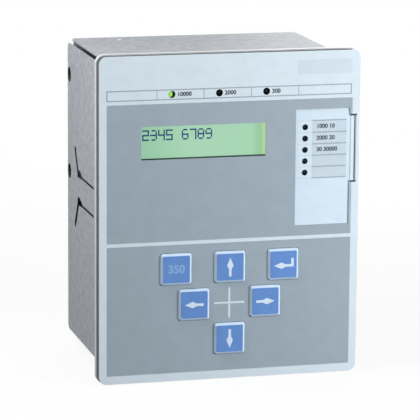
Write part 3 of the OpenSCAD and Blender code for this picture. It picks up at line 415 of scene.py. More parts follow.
# %% Mix the grained finishes
# Name, colour, spread of the colour, grain and its height in millimetres, and roughness.
finishes = {
    "film_pale": grained("pale_film", (210, 224, 234), 0.012, 0.35, 0.01, 0.45),
    "film_grey": grained("grey_film", (152, 167, 178), 0.015, 0.35, 0.01, 0.5),
    "legend_card": grained("legend_card", (213, 230, 243), 0.012, 0.25, 0.01, 0.75),
    "fascia_grey": grained("fascia_moulding", (68, 73, 78), 0.03, 0.5, 0.03, 0.55),
    "frame_light": grained("light_frame", (208, 211, 214), 0.015, 0.5, 0.03, 0.5),
    "gasket": grained("rubber_gasket", (45, 47, 49), 0.08, 0.8, 0.08, 0.85),
    "black_plastic": grained("black_moulding", (34, 36, 39), 0.06, 0.4, 0.03, 0.5),
    "backlight": grained("backlight_diffuser", (236, 240, 220), 0.02, 0.5, 0.01, 0.6),
    "nylon": grained("nylon_spacer", (220, 216, 200), 0.03, 0.6, 0.02, 0.5),
    "key_pale": grained("pale_key", (200, 220, 241), 0.015, 0.4, 0.015, 0.45),
    "key_blue": grained("blue_inlay", (99, 142, 206), 0.025, 0.4, 0.01, 0.5, specular=0.2),
    "transformer_core": grained("varnished_core", (104, 108, 112), 0.08, 0.7, 0.05, 0.5),
    "coil_blue": grained("cast_resin", (48, 80, 138), 0.05, 0.6, 0.03, 0.45),
    "capacitor_sleeve": grained("shrink_sleeve", (42, 48, 82), 0.04, 0.8, 0.02, 0.35),
    "terminal_green": grained("green_moulding", (72, 134, 90), 0.04, 0.45, 0.03, 0.48),
    "lamp_dark": grained("dark_lens", (13, 16, 23), 0.1, 0.6, 0.005, 0.35, specular=0.15),
}
print("grained finishes:", len(finishes))

# %% [markdown]
# ## Zinc-coated sheet
# The case is steel sheet with a coat of zinc. The coat cools in flat crystals, which show as a soft
# mottling of lighter and darker patches, the widest a few millimetres across. A pattern of cells would
# give each crystal a hard outline, which thin coats don't have, so two noises of different size are
# added up, and a finer one gives the coat its slight unevenness.

# %% Mix the metals
WIDE_CRYSTAL = 3.2
FINE_CRYSTAL = 0.9
FINE_SHARE = 0.6
COAT_GRAIN = 0.5
COAT_HEIGHT = 0.01
STREAK = 0.3
STREAK_STRETCH = (1, 1, 0.15)
STREAK_HEIGHT = 0.01


def zinc_sheet():
    finish = Finish("zinc_sheet", roughness=0.5, metallic=0.06, specular=0.12)
    wide = finish.noise(WIDE_CRYSTAL, detail=2.0)
    mottling = finish.mixed(wide, finish.noise(FINE_CRYSTAL), FINE_SHARE)
    finish.colour(mottling, (0.55, paint(152, 156, 162)), (1.0, paint(182, 186, 192)))
    finish.gloss(mottling, 0.46, 0.6)
    finish.relief(finish.noise(COAT_GRAIN, detail=2.0), COAT_HEIGHT, strength=0.15)
    return finish.material


def plated(name, dark, light):
    """Turned or rolled small parts: bright, with fine streaks."""
    finish = Finish(name, roughness=0.35, metallic=0.9)
    streaks = finish.noise(STREAK, stretch=STREAK_STRETCH)
    finish.colour(streaks, (NOISE_LOW, paint(*dark)), (NOISE_HIGH, paint(*light)))
    finish.gloss(streaks, 0.25, 0.45)
    finish.relief(streaks, STREAK_HEIGHT, strength=0.3)
    return finish.material


finishes["zinc_sheet"] = zinc_sheet()
finishes["zinc_screw"] = plated("zinc_plating", (128, 132, 138), (172, 175, 179))
finishes["plated_brass"] = plated("tinned_brass", (176, 166, 124), (214, 204, 164))
print("metals: zinc sheet, zinc plating, tinned brass")

# %% [markdown]
# ## Display, lamps, boards and cables
# The display is lit from behind, so its glass is dark and its green is light that it gives off. With a
# plain green glass the rim of the window would cast a shadow on it. A yellower band at its right end is
# painted light, for the lit right wall of the window's recess. The ready lamp's lens is green on its
# left and dark on its right, a painted shade of the wall of its hole. The clear film shows only a trace
# of a colour of its own, or it would veil the dark lamps behind it. Boards show the darker lines of
# their copper under the green mask, and a flat cable shows its separate wires.

# %% Mix the special finishes
RAMP_PAST = 1.2
DISPLAY_GLOW = 0.895
UNLIT_GLASS = (45, 60, 50)
CLOUD = 7.0
CLOUD_SHARE = 0.02
LENS_HALF = 1.2
LAMP_GLOW = 0.6
FILM_SHARE = 0.012
TRACK = 2.2
WIRE_PITCH = 1.27


def display_glass():
    window = front_box("display_window")
    finish = Finish("display_glass", roughness=0.3)
    reach = finish.along("X", window.left, window.right + RAMP_PAST)
    across = finish.mixed(reach, finish.noise(CLOUD), CLOUD_SHARE)
    # The last stops make a yellow band at the right end: painted light for the lit right wall of the
    # recess.
    green = finish.ramp(
        across, (0.05, paint(150, 203, 166)), (0.4, paint(169, 217, 182)), (0.9, paint(168, 217, 181)),
        (0.95, paint(158, 213, 163)), (0.978, paint(160, 213, 160)), (0.986, paint(190, 224, 164)))
    finish.shader.inputs["Base Color"].default_value = paint(*UNLIT_GLASS)
    finish.join(green, finish.shader.inputs["Emission Color"])
    finish.shader.inputs["Emission Strength"].default_value = DISPLAY_GLOW
    return finish.material


def lit_lamp():
    lamp = front_box("ready_led")
    finish = Finish("lit_lens", roughness=0.2)
    middle = (lamp.left + lamp.right) / 2
    side = finish.along("X", middle - LENS_HALF, middle + LENS_HALF)
    # Green on the left and dark on the right: the right half is painted shade of the wall of the lamp's
    # hole.
    green = finish.ramp(side, (0.45, paint(160, 226, 84)), (0.8, paint(22, 60, 18)))
    finish.join(green, finish.shader.inputs["Base Color"])
    finish.join(green, finish.shader.inputs["Emission Color"])
    finish.shader.inputs["Emission Strength"].default_value = LAMP_GLOW
    return finish.material


def clear_film():
    finish = Finish("clear_film", roughness=0.12)
    finish.colour(finish.noise(size_mm=4.0), *shades((100, 135, 165), spread=0.01))
    finish.shader.inputs["Alpha"].default_value = FILM_SHARE
    return finish.material


def circuit_board():
    finish = Finish("circuit_board", roughness=0.4)
    sideways = finish.noise(TRACK, detail=1.0, stretch=(0.2, 1, 1))
    lengthways = finish.noise(TRACK, detail=1.0, stretch=(1, 0.2, 1))
    tracks = finish.mixed(sideways, lengthways, share=1.0)
    finish.colour(tracks, (0.92, paint(38, 92, 58)), (1.0, paint(58, 122, 80)))
    finish.relief(tracks, height_mm=0.03, strength=0.3)
    return finish.material


def flat_cable():
    finish = Finish("flat_cable", roughness=0.5)
    wires = finish.waves(WIRE_PITCH, "X")
    finish.colour(wires, (0.1, paint(120, 126, 132)), (0.6, paint(164, 170, 176)))
    finish.relief(wires, height_mm=0.3, strength=0.8)
    return finish.material


finishes["display_glass"] = display_glass()
finishes["lamp_green"] = lit_lamp()
finishes["clear_film"] = clear_film()
finishes["circuit_board"] = circuit_board()
finishes["ribbon_grey"] = flat_cable()
print("all finishes:", len(finishes))

# %% [markdown]
# ## Dress every solid
# Each solid of the frame takes the finish of its material slot. The record says which slot that is,
# so one loop dresses them all, also those inside the case that hardly show.

# %% Give the solids their finishes
slot_of = {part["node"]: part["material_slot"] for part in frame["record"]["subparts"]}


def dress(thing, material):
    thing.data.materials.clear()
    thing.data.materials.append(material)


for name, thing in nodes.items():
    dress(thing, finishes[slot_of[name]])
print("dressed:", len(nodes), "solids")

# %% [markdown]
# ## Softened edges
# CAD edges are perfectly sharp, and real ones never are: sheet is sheared, plastic is moulded with a
# small radius. A bright line along an edge tells the eye what the thing is made of. A copy of each
# visible solid gets its loose triangles merged and its edges bevelled, and then stands for the solid.
# Weighted normals keep the large faces flat beside their rounded edges.

# %% Bevel the visible solids
MERGE = 1e-6
FLAT_ANGLE = radians(0.5)
EDGE_ANGLE = radians(32)
ROUND_ANGLE = radians(50)
BEVEL_STEPS = 2
KEYS = ("esc", "up", "enter", "left", "right", "down")
KEY_RADIUS = 0.18
EDGE_RADIUS = {
    "case_shell": 0.16, "front_frame": 0.4, "fascia": 0.25, "panel_gasket": 0.25,
    "front_film": 0.1, "ct_terminal_block": 0.25, "io_sockets": 0.2,
    "io_plug_left": 0.25, "io_plug_right": 0.25, "earth_washer": 0.15, "earth_nut": 0.3,
}
EDGE_RADIUS.update({"key_" + key: KEY_RADIUS for key in KEYS})


def applied(thing, name):
    """The thing's mesh with its modifiers in it, as a new plain mesh."""
    graph = bpy.context.evaluated_depsgraph_get()
    mesh = bpy.data.meshes.new_from_object(thing.evaluated_get(graph))
    mesh.name = name
    thing.modifiers.clear()
    old = thing.data
    thing.data = mesh
    bpy.data.meshes.remove(old)


def smooth(mesh, angle=EDGE_ANGLE):
    mesh.shade_smooth()
    mesh.set_sharp_from_angle(angle=angle)


def soften(node, radius_mm):
    source = nodes[node]
    shape = bmesh.new()
    shape.from_mesh(source.data)
    bmesh.ops.remove_doubles(shape, verts=shape.verts, dist=MERGE)
    bmesh.ops.dissolve_limit(shape, angle_limit=FLAT_ANGLE, verts=shape.verts, edges=shape.edges)
    mesh = bpy.data.meshes.new(node + "_soft")
    shape.to_mesh(mesh)
    shape.free()
    piece = add_object(node + "_soft", mesh)
    bevel = piece.modifiers.new("edge", "BEVEL")
    bevel.width = radius_mm * MM
    bevel.segments = BEVEL_STEPS
    bevel.limit_method = "ANGLE"
    bevel.angle_limit = EDGE_ANGLE
    applied(piece, node + "_soft")
    smooth(piece.data, ROUND_ANGLE)
    flat = piece.modifiers.new("flat_faces", "WEIGHTED_NORMAL")
    flat.keep_sharp = True
    applied(piece, node + "_soft")
    dress(piece, finishes[slot_of[node]])
    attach(piece, source["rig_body"])
    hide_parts(node)
    return piece


softened = {name: soften(name, radius) for name, radius in EDGE_RADIUS.items()}
for name, piece in softened.items():
    print("softened %s: %d faces" % (name, len(piece.data.polygons)))

# %% [markdown]
# ## Painted shade and light on the cut edges
# The cut edges of the slits and holes in the sides get a nearly black colour, a painted shade of the
# narrow gaps. The cut edges of the two holes in the top get a nearly white one, a painted light on their
# far walls. Such faces lie within the thickness of the sheet and do not look straight out of it, which
# is enough to find them and to give them a finish of their own.

# %% Paint the cut edges
X_AXIS, Y_AXIS, Z_AXIS = range(3)
SHEET = 1.0
CLEAR_OF_SEAMS = 5.0
CLEAR_OF_BENDS = 2.05
EDGE_SKIN = 0.005
LOOKS_OUT = 0.95


def paint_cut_edges(piece, out, across, finish):
    """Finish the cut edges in the two walls that face along axis out and run along Y and axis across."""
    low, high = [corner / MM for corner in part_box("case_shell")]
    piece.data.materials.append(finish)
    found = 0
    for face in piece.data.polygons:
        spot = face.center / MM
        under = min(high[out] - spot[out], spot[out] - low[out])
        in_sheet = EDGE_SKIN < under < SHEET - EDGE_SKIN
        inner = min(spot[across] - low[across], high[across] - spot[across], spot.y - low.y)
        clear = inner > CLEAR_OF_SEAMS and high.y - spot.y > CLEAR_OF_BENDS
        if in_sheet and clear and abs(face.normal[out]) < LOOKS_OUT:
            face.material_index = len(piece.data.materials) - 1
            found += 1
    return found


# Painted shade and light: the sides' cut edges are nearly black for the shade in their slits and holes,
# and the top's are nearly white for the light on the far walls of its holes.
painted_shade_edge = grained("cut_edge_painted_shade", (52, 54, 57), 0.15, 0.4, 0.02, 0.6)
painted_light_edge = grained("cut_edge_painted_light", (236, 239, 243), 0.02, 0.4, 0.01, 0.5)
print("side edges:", paint_cut_edges(softened["case_shell"], X_AXIS, Z_AXIS, painted_shade_edge), "faces")
print("top edges:", paint_cut_edges(softened["case_shell"], Z_AXIS, X_AXIS, painted_light_edge), "faces")

# %% [markdown]
# ## Printed marks
# Lines and marks on a front are ink of a few hundredths of a millimetre. Each mark here is a thin
# closed plate on its surface, which keeps it crisp from any distance, where a texture would blur.
# A mark is an outline in the front's millimetres; the helper below makes it solid. The darker lines at
# the notch in the film are painted shade, made the same way.

# %% Helpers for print
INK_MM = 0.04
INK_GRAIN = 0.3
INK_HEIGHT = 0.002
ON_FILM = 0.0
# Colour, spread of the colour and roughness of each ink.
INKS = {
    "line": ((146, 161, 170), 0.02, 0.6),
    "soft_line": ((176, 189, 198), 0.02, 0.6),
    "dark": ((62, 72, 80), 0.03, 0.6),
    # The end ink is painted shade, for the top and bottom edges of the notch in the film.
    "end": ((50, 59, 64), 0.03, 0.6),
    "card_line": ((158, 172, 183), 0.02, 0.6),
    "row": ((198, 213, 224), 0.01, 0.6),
    "white": ((212, 228, 245), 0.01, 0.55),
    "faint": ((138, 173, 219), 0.02, 0.55),
    "display": ((26, 68, 118), 0.05, 0.5),
    "plate": ((201, 215, 226), 0.01, 0.55),
}
inks = {}
for name, (colour, spread, roughness) in INKS.items():
    inks[name] = grained(name + "_ink", colour, spread, INK_GRAIN, INK_HEIGHT, roughness)


def bar(left, right, bottom, top):
    return [(left, bottom), (right, bottom), (right, top), (left, top)]


def frame_bars(left, right, bottom, top, width):
    """The four sides of a rectangle as bars of one width, with no overlap."""
    return [
        bar(left, right, top - width, top),
        bar(left, right, bottom, bottom + width),
        bar(left, left + width, bottom + width, top - width),
        bar(right - width, right, bottom + width, top - width),
    ]


def add_print(name, mesh, ink, body):
    piece = add_object(name, mesh)
    dress(piece, inks[ink])
    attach(piece, body)


def print_marks(name, outlines, ink, depth, body="relay"):
    """Thin plates from outlines, their backs on a surface at this depth behind the film's face."""
    shape = bmesh.new()
    for outline in outlines:
        back = [shape.verts.new(on_front(x, z, depth)) for x, z in outline]
        front = [shape.verts.new(on_front(x, z, depth - INK_MM)) for x, z in outline]
        shape.faces.new(front)
        shape.faces.new(back[::-1])
        for i in range(len(outline)):
            j = (i + 1) % len(outline)
            shape.faces.new([front[j], front[i], back[i], back[j]])
    bmesh.ops.recalc_face_normals(shape, faces=shape.faces)
    mesh = bpy.data.meshes.new(name)
    shape.to_mesh(mesh)
    shape.free()
    add_print(name, mesh, ink, body)


print("inks:", ", ".join(inks))

# %% [markdown]
# ## Lamp strip and plate
# A thin line frames the row of status lamps and parts it into cells. Each lamp has a numeral beside
# it. Numerals are Blender text, made a mesh before it is placed. The plate in the corner is bare.

# %% Print the lamp strip
# Each rectangle is its left, right, bottom and top.
STRIP = (-62.0, 61.3, 140.2, 145.4)
STRIP_LINE = 0.5
CELL_EDGES = (-37.3, -13.8, 10.0, 33.9)
PLATE = (33.8, 61.4, 150.7, 157.8)

_, _, bottom, top = STRIP
print_marks("lamp_strip_lines", frame_bars(*STRIP, STRIP_LINE), "line", ON_FILM)
cell_bars = [bar(x, x + STRIP_LINE, bottom + STRIP_LINE, top - STRIP_LINE) for x in CELL_EDGES]
print_marks("lamp_strip_cells", cell_bars, "soft_line", ON_FILM)
print_marks("corner_plate", [bar(*PLATE)], "plate", ON_FILM)
print("lamp strip:", len(CELL_EDGES) + 1, "cells")

# %% Print the numerals
DIGIT_SHARE = 0.7
BOLDER = 0.05


def numeral(name, text, x, z, height_mm, depth, ink, body="relay", align="LEFT"):
    """Text as a thin mesh, its left edge or its middle at x and its middle at height z."""
    curve = bpy.data.curves.new(name, "FONT")
    curve.body = text
    curve.size = height_mm / DIGIT_SHARE * MM
    curve.offset = height_mm * BOLDER * MM
    curve.extrude = INK_MM / 2 * MM
    curve.align_x = align
    curve.align_y = "CENTER"
    writer = add_object(name + "_text", curve)
    graph = bpy.context.evaluated_depsgraph_get()
    mesh = bpy.data.meshes.new_from_object(writer.evaluated_get(graph))
    bpy.data.objects.remove(writer)
    upright = Matrix.Rotation(radians(90), 4, "X")
    mesh.transform(Matrix.Translation(on_front(x, z, depth - INK_MM / 2)) @ upright)
    shape = bmesh.new()
    shape.from_mesh(mesh)
    bmesh.ops.remove_doubles(shape, verts=shape.verts, dist=MERGE)
    shape.to_mesh(mesh)
    shape.free()
    add_print(name, mesh, ink, body)


LABEL_GAP = 2.7
LABEL_HEIGHT = 2.0
LAMP_LABELS = ("10000", "2000", "300")
status = front_box("status_leds")
ready = front_box("ready_led")
lamp_z = (status.bottom + status.top) / 2
lamp_half = (ready.right - ready.left) / 2
lamp_places = [ready.left + lamp_half, status.left + lamp_half, status.right - lamp_half]
for i, x in enumerate(lamp_places):
    numeral("lamp_numeral_%d" % (i + 1), LAMP_LABELS[i], x + LABEL_GAP, lamp_z, LABEL_HEIGHT, ON_FILM,
            "dark")
print("lamp numerals:", len(lamp_places))

# %% [markdown]
# ## Legend card
# The card behind the clear window has a row for each alarm lamp. The rows are a shade darker than the
# card, with lines between them that run on past the lamps, and the first three have a number. All of
# this is on the card itself, so it slides out with it. A line on the film marks the window's edge and
# goes on across the card. Darker lines along the edges of the notch, where a thumb can reach the card,
# are painted shade of those edges.

# %% Print the card
ROWS = (41.5, 59.1)
ROW_EDGES = (127.46, 121.6, 115.85, 110.15, 104.5, 98.9)
ROW_LINE = 0.6
LAMP_LINE = 0.3
LAMP_COLUMN = 34.2
CARD_LABELS = ("1000 10", "2000 20", "30 30000")
CARD_LABEL_X = 43.7
ON_CARD = front_box("legend_card").front
ON_ROWS = ON_CARD - INK_MM


def row_bars(left, right, thickness):
    """A bar at each edge of the rows."""
    half = thickness / 2
    return [bar(left, right, z - half, z + half) for z in ROW_EDGES]


def print_on_card(name, outlines, ink, depth):
    print_marks(name, outlines, ink, depth, "card")


print_on_card("card_rows", [bar(*ROWS, ROW_EDGES[-1], ROW_EDGES[0])], "row", ON_CARD)
print_on_card("card_row_lines", row_bars(*ROWS, ROW_LINE), "card_line", ON_ROWS)
print_on_card("card_lamp_lines", row_bars(LAMP_COLUMN, ROWS[0], LAMP_LINE), "row", ON_CARD)
for i, label in enumerate(CARD_LABELS):
    middle = (ROW_EDGES[i] + ROW_EDGES[i + 1]) / 2
    numeral("card_numeral_%d" % (i + 1), label, CARD_LABEL_X, middle, LABEL_HEIGHT, ON_ROWS,
            "dark", "card")
print("card rows:", len(ROW_EDGES) - 1)

# %% Print the notch's painted shade and the window's edge line
THUMB = (60.9, 63.6, 97.0, 129.4)
NOTCH_SHADE_END = 0.85
NOTCH_SHADE_SIDE = 0.5
EDGE_LINE = 0.45
GRIP_LINE = 0.65

window = front_box("card_window")
edge = window.right
left, right, bottom, top = THUMB
# Painted shade: darker lines along the top, bottom and right edges of the notch in the film.
print_marks("notch_shade_ends", [
    bar(left, right + NOTCH_SHADE_SIDE, top, top + NOTCH_SHADE_END),
    bar(left, right + NOTCH_SHADE_SIDE, bottom - NOTCH_SHADE_END, bottom),
], "end", ON_FILM)
print_marks("notch_shade_side", [bar(right, right + NOTCH_SHADE_SIDE, bottom, top)], "soft_line", ON_FILM)
print_marks("window_edge_line", [
    bar(edge, edge + EDGE_LINE, top + NOTCH_SHADE_END, window.top),
    bar(edge, edge + EDGE_LINE, window.bottom, bottom - NOTCH_SHADE_END),
], "soft_line", ON_FILM)
print_on_card("card_edge_line", [bar(edge, edge + GRIP_LINE, bottom, top)], "soft_line", ON_CARD)
print("notch shade: %.1f mm tall" % (top - bottom))

# %% [markdown]
# ## Key legends
# Four keys carry an arrow with a head like a spear, one an arrow whose shaft bends up at its end, and
# one a faint number. The straight arrows are one outline, turned to four directions, and each legend
# rides on its own key.

# %% Print the keys
ON_INLAY = front_box("inlay_up").front
SPEAR_HALF = [(0, 4.7), (1.65, 0.8), (0.65, -1.2), (0.65, -4.7)]
BENT_ARROW = [(-4.9, -0.6), (-1.0, -2.25), (1.0, -1.25), (5.2, -1.25), (5.2, 3.1), (3.9, 3.1),
              (3.9, 0.05), (1.0, 0.05), (-1.0, 1.05)]
KEY_NUMBER = "350"
KEY_NUMBER_HEIGHT = 3.9


def mirrored(half):
    """A whole outline from its right half."""
    return half + [(-x, z) for x, z in reversed(half) if x]


def turned(outline, degrees, middle):
    turn = radians(degrees)
    return [
        (middle[0] + x * cos(turn) - z * sin(turn), middle[1] + x * sin(turn) + z * cos(turn))
        for x, z in outline
    ]


def key_middle(key):
    inlay = front_box("inlay_" + key)
    return (inlay.left + inlay.right) / 2, (inlay.bottom + inlay.top) / 2


def print_key(key, outline, degrees):
    marks = [turned(outline, degrees, key_middle(key))]
    print_marks("legend_" + key, marks, "white", ON_INLAY, "key_%s_body" % key)


spear = mirrored(SPEAR_HALF)
for key, degrees in {"up": 0, "left": 90, "down": 180, "right": -90}.items():
    print_key(key, spear, degrees)
print_key("enter", BENT_ARROW, 0)
number_x, number_z = key_middle("esc")
numeral("legend_esc", KEY_NUMBER, number_x, number_z, KEY_NUMBER_HEIGHT, ON_INLAY, "faint",
        "key_esc_body", "CENTER")
print("key legends: 5 arrows and a number")

# %% [markdown]
# ## Characters on the display
# The display forms each character from a grid of square dots. Geometry Nodes place one small dot on
# every lit point, which is what the real glass does. The points come from a rule: each numeral lights
# some of seven strokes, each stroke is a run of dots, and the round numerals lose their corner dots.

# %% Dots of the display
DOT_WIDE = 0.68
DOT_TALL = 0.76
DOT_DEPTH = 0.05
CHARACTER_PITCH = 3.95
TEXT_LEFT = -42.9
TEXT_BASE = 120.1
DISPLAY_TEXT = "2345 6789"
STROKES = {
    "a": [(x, 6) for x in range(5)], "b": [(4, z) for z in range(3, 7)],
    "c": [(4, z) for z in range(4)], "d": [(x, 0) for x in range(5)],
    "e": [(0, z) for z in range(4)], "f": [(0, z) for z in range(3, 7)],
    "g": [(x, 3) for x in range(5)],
}
LIT = {"2": "abged", "3": "abgcd", "4": "fgbc", "5": "afgcd", "6": "afgedc", "7": "abc",
       "8": "abcdefg", "9": "abcdfg"}
ROUND_DIGITS = "3689"
CORNERS = {(0, 0), (4, 0), (0, 6), (4, 6)}


def lit_points():
    points = []
    for i, character in enumerate(DISPLAY_TEXT):
        dots = {dot for stroke in LIT.get(character, "") for dot in STROKES[stroke]}
        if character in ROUND_DIGITS:
            dots -= CORNERS
        for column, row in sorted(dots):
            x = TEXT_LEFT + i * CHARACTER_PITCH + column * DOT_WIDE
            points.append((x, TEXT_BASE + row * DOT_TALL))
    return points


print("lit dots:", len(lit_points()))

# %% A tree that puts a shape on every point


def tree_with_inputs(name, *labels):
    """An empty Geometry Nodes tree with a size input for each label."""
    tree = bpy.data.node_groups.new(name, "GeometryNodeTree")
    sockets = tree.interface
    sockets.new_socket("Geometry", in_out="INPUT", socket_type="NodeSocketGeometry")
    sockets.new_socket("Geometry", in_out="OUTPUT", socket_type="NodeSocketGeometry")
    for label in labels:
        sockets.new_socket(label, in_out="INPUT", socket_type="NodeSocketFloat")
    start = tree.nodes.new("NodeGroupInput")
    end = tree.nodes.new("NodeGroupOutput")
    return tree, start, end


def close_tree(tree, geometry, material, end):
    """Realize the instances and give them their finish."""
    add = tree.nodes.new
    link = tree.links.new
    real = add("GeometryNodeRealizeInstances")
    cover = add("GeometryNodeSetMaterial")
    cover.inputs["Material"].default_value = material
    link(geometry, real.inputs[0])
    link(real.outputs[0], cover.inputs["Geometry"])
    link(cover.outputs[0], end.inputs[0])


def grow(name, points, tree, body, slot, **sizes):
    """A piece that the tree grows on these points, as a plain mesh on its body."""
    mesh = bpy.data.meshes.new(name)
    mesh.from_pydata(points, [], [])
    piece = add_object(name, mesh)
    modifier = piece.modifiers.new("grow", "NODES")
    modifier.node_group = tree
    for item in tree.interface.items_tree:
        if item.in_out == "INPUT" and item.name in sizes:
            modifier[item.identifier] = sizes[item.name]
    applied(piece, name)
    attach(piece, body)
    return piece


def dot_tree():
    tree, start, end = tree_with_inputs("display_dots", "width", "depth", "height")
    add = tree.nodes.new
    link = tree.links.new
    cube = add("GeometryNodeMeshCube")
    sides = add("ShaderNodeCombineXYZ")
    place = add("GeometryNodeInstanceOnPoints")
    for label, axis in {"width": "X", "depth": "Y", "height": "Z"}.items():
        link(start.outputs[label], sides.inputs[axis])
    link(sides.outputs[0], cube.inputs["Size"])
    link(start.outputs["Geometry"], place.inputs["Points"])
    link(cube.outputs["Mesh"], place.inputs["Instance"])
    close_tree(tree, place.outputs[0], inks["display"], end)
    return tree


glass_front = front_box("lcd_glass").front
dot_places = [on_front(x, z, glass_front - DOT_DEPTH / 2) for x, z in lit_points()]
dots = grow("display_dots", dot_places, dot_tree(), "relay", "display_glass",
            width=DOT_WIDE * MM, depth=DOT_DEPTH * MM, height=DOT_TALL * MM)
print("display dots:", len(dots.data.polygons), "faces")

# %% [markdown]
# ## Screws
# The solids of the screws are plain rounds, so their heads need what a screwdriver fits. One way is to
# model a screw by hand and copy it. Geometry Nodes do it by rule: a cylinder gets a rounded shoulder,
# two bars cut its slot or cross, a thinner cylinder makes the shank, and the screw goes to every place,
# each turned by chance, as screws end up when they are tightened. The places come from the
# CAD solids: each separate part of a screw node is one screw, and its box gives its middle and length.

# %% Find the screws


def loose_boxes(node):
    """Low and high corners of each separate solid in a node."""
    shape = bmesh.new()
    shape.from_mesh(nodes[node].data)
    bmesh.ops.remove_doubles(shape, verts=shape.verts, dist=MERGE)
    waiting = set(shape.verts)
    boxes = []
    while waiting:
        stack = [waiting.pop()]
        found = []
        while stack:
            vertex = stack.pop()
            found.append(vertex.co.copy())
            for edge in vertex.link_edges:
                other = edge.other_vert(vertex)
                if other in waiting:
                    waiting.remove(other)
                    stack.append(other)
        low = Vector([min(co[i] for co in found) for i in range(3)])
        high = Vector([max(co[i] for co in found) for i in range(3)])
        boxes.append((low, high))
    shape.free()
    return sorted(boxes, key=lambda box: tuple(box[0]))


def head_places(boxes, axis, outer):
    """Middles of the heads' outer faces, which lie at one end of the axis."""
    places = []
    for box in boxes:
        place = (box[0] + box[1]) / 2
        place[axis] = box[outer][axis]
        places.append(place)
    return places


print("clamp screws of the terminal block:", len(loose_boxes("ct_terminal_screws")))

# %% A tree that cuts a screw
SHOULDER = 0.86
SHOULDER_FROM = -0.45
INSIDE_HEAD = 0.7
ROUND_SIDES = 32
SHANK_SIDES = 24
HEAD_RINGS = 6
SCREW_SEED = 4


def math_node(tree, operation, one, other):
    """A Math node; each side is a socket or a plain number."""
    made = tree.nodes.new("ShaderNodeMath")
    made.operation = operation
    for socket, value in zip(made.inputs, (one, other)):
        if isinstance(value, (int, float)):
            socket.default_value = value
        else:
            tree.links.new(value, socket)
    return made.outputs[0]


def raised(tree, shape, height):
    """The shape moved along Z by a height."""
    add = tree.nodes.new
    link = tree.links.new
    step = add("ShaderNodeCombineXYZ")
    moved = add("GeometryNodeTransform")
    link(height, step.inputs["Z"])
    link(shape, moved.inputs["Geometry"])
    link(step.outputs[0], moved.inputs["Translation"])
    return moved.outputs[0]


def round_bar(tree, radius, length, top, sides=ROUND_SIDES, rings=1):
    """A cylinder along Z that hangs down from the height top."""
    cylinder = tree.nodes.new("GeometryNodeMeshCylinder")
    cylinder.inputs["Vertices"].default_value = sides
    cylinder.inputs["Side Segments"].default_value = rings
    tree.links.new(radius, cylinder.inputs["Radius"])
    tree.links.new(length, cylinder.inputs["Depth"])
    lower = math_node(tree, "MULTIPLY", length, -0.5)
    return raised(tree, cylinder.outputs["Mesh"], math_node(tree, "ADD", lower, top))


def shouldered(tree, head, head_height):
    """The head with its outer edge drawn in."""
    add = tree.nodes.new
    link = tree.links.new
    where = add("GeometryNodeInputPosition")
    split = add("ShaderNodeSeparateXYZ")
    shrink = add("ShaderNodeMapRange")
    shrink.interpolation_type = "SMOOTHSTEP"
    shrink.inputs["From Max"].default_value = 0
    shrink.inputs["To Min"].default_value = 1
    shrink.inputs["To Max"].default_value = SHOULDER
    link(where.outputs[0], split.inputs[0])
    link(split.outputs["Z"], shrink.inputs["Value"])
    link(math_node(tree, "MULTIPLY", head_height, SHOULDER_FROM), shrink.inputs["From Min"])
    joined = add("ShaderNodeCombineXYZ")
    for axis in "XY":
        scaled = math_node(tree, "MULTIPLY", split.outputs[axis], shrink.outputs["Result"])
        link(scaled, joined.inputs[axis])
    link(split.outputs["Z"], joined.inputs["Z"])
    formed = add("GeometryNodeSetPosition")
    link(head, formed.inputs["Geometry"])
    link(joined.outputs[0], formed.inputs["Position"])
    return formed.outputs[0]


def slot_bar(tree, length, width, depth, upright):
    """A cutting bar across the head, along X or along Y, that reaches its depth below Z = 0."""
    add = tree.nodes.new
    link = tree.links.new
    sides = add("ShaderNodeCombineXYZ")
    cube = add("GeometryNodeMeshCube")
    link(length, sides.inputs["Y" if upright else "X"])
    link(width, sides.inputs["X" if upright else "Y"])
    link(math_node(tree, "MULTIPLY", depth, 2), sides.inputs["Z"])
    link(sides.outputs[0], cube.inputs["Size"])
    return cube.outputs["Mesh"]


def joined_shapes(tree, *shapes):
    join = tree.nodes.new("GeometryNodeJoinGeometry")
    for shape in shapes:
        tree.links.new(shape, join.inputs[0])
    return join.outputs[0]


def at_points(tree, shape, points, tilt, seed):
    """The shape on every point, tilted about X and then turned by chance about its own axis."""
    add = tree.nodes.new
    link = tree.links.new
    euler = add("ShaderNodeCombineXYZ")
    base = add("FunctionNodeEulerToRotation")
    chance = add("FunctionNodeRandomValue")
    chance.data_type = "FLOAT"
    low, high = [socket for socket in chance.inputs if socket.enabled][:2]
    low.default_value = 0
    high.default_value = radians(180)
    chance.inputs["Seed"].default_value = seed
    spin = add("ShaderNodeCombineXYZ")
    spun = add("FunctionNodeEulerToRotation")
    both = add("FunctionNodeRotateRotation")
    both.rotation_space = "LOCAL"
    place = add("GeometryNodeInstanceOnPoints")
    value = [socket for socket in chance.outputs if socket.enabled][0]
    link(tilt, euler.inputs["X"])
    link(euler.outputs[0], base.inputs[0])
    link(value, spin.inputs["Z"])
    link(spin.outputs[0], spun.inputs[0])
    link(base.outputs[0], both.inputs[0])
    link(spun.outputs[0], both.inputs[1])
    link(points, place.inputs["Points"])
    link(shape, place.inputs["Instance"])
    link(both.outputs[0], place.inputs["Rotation"])
    return place.outputs[0]


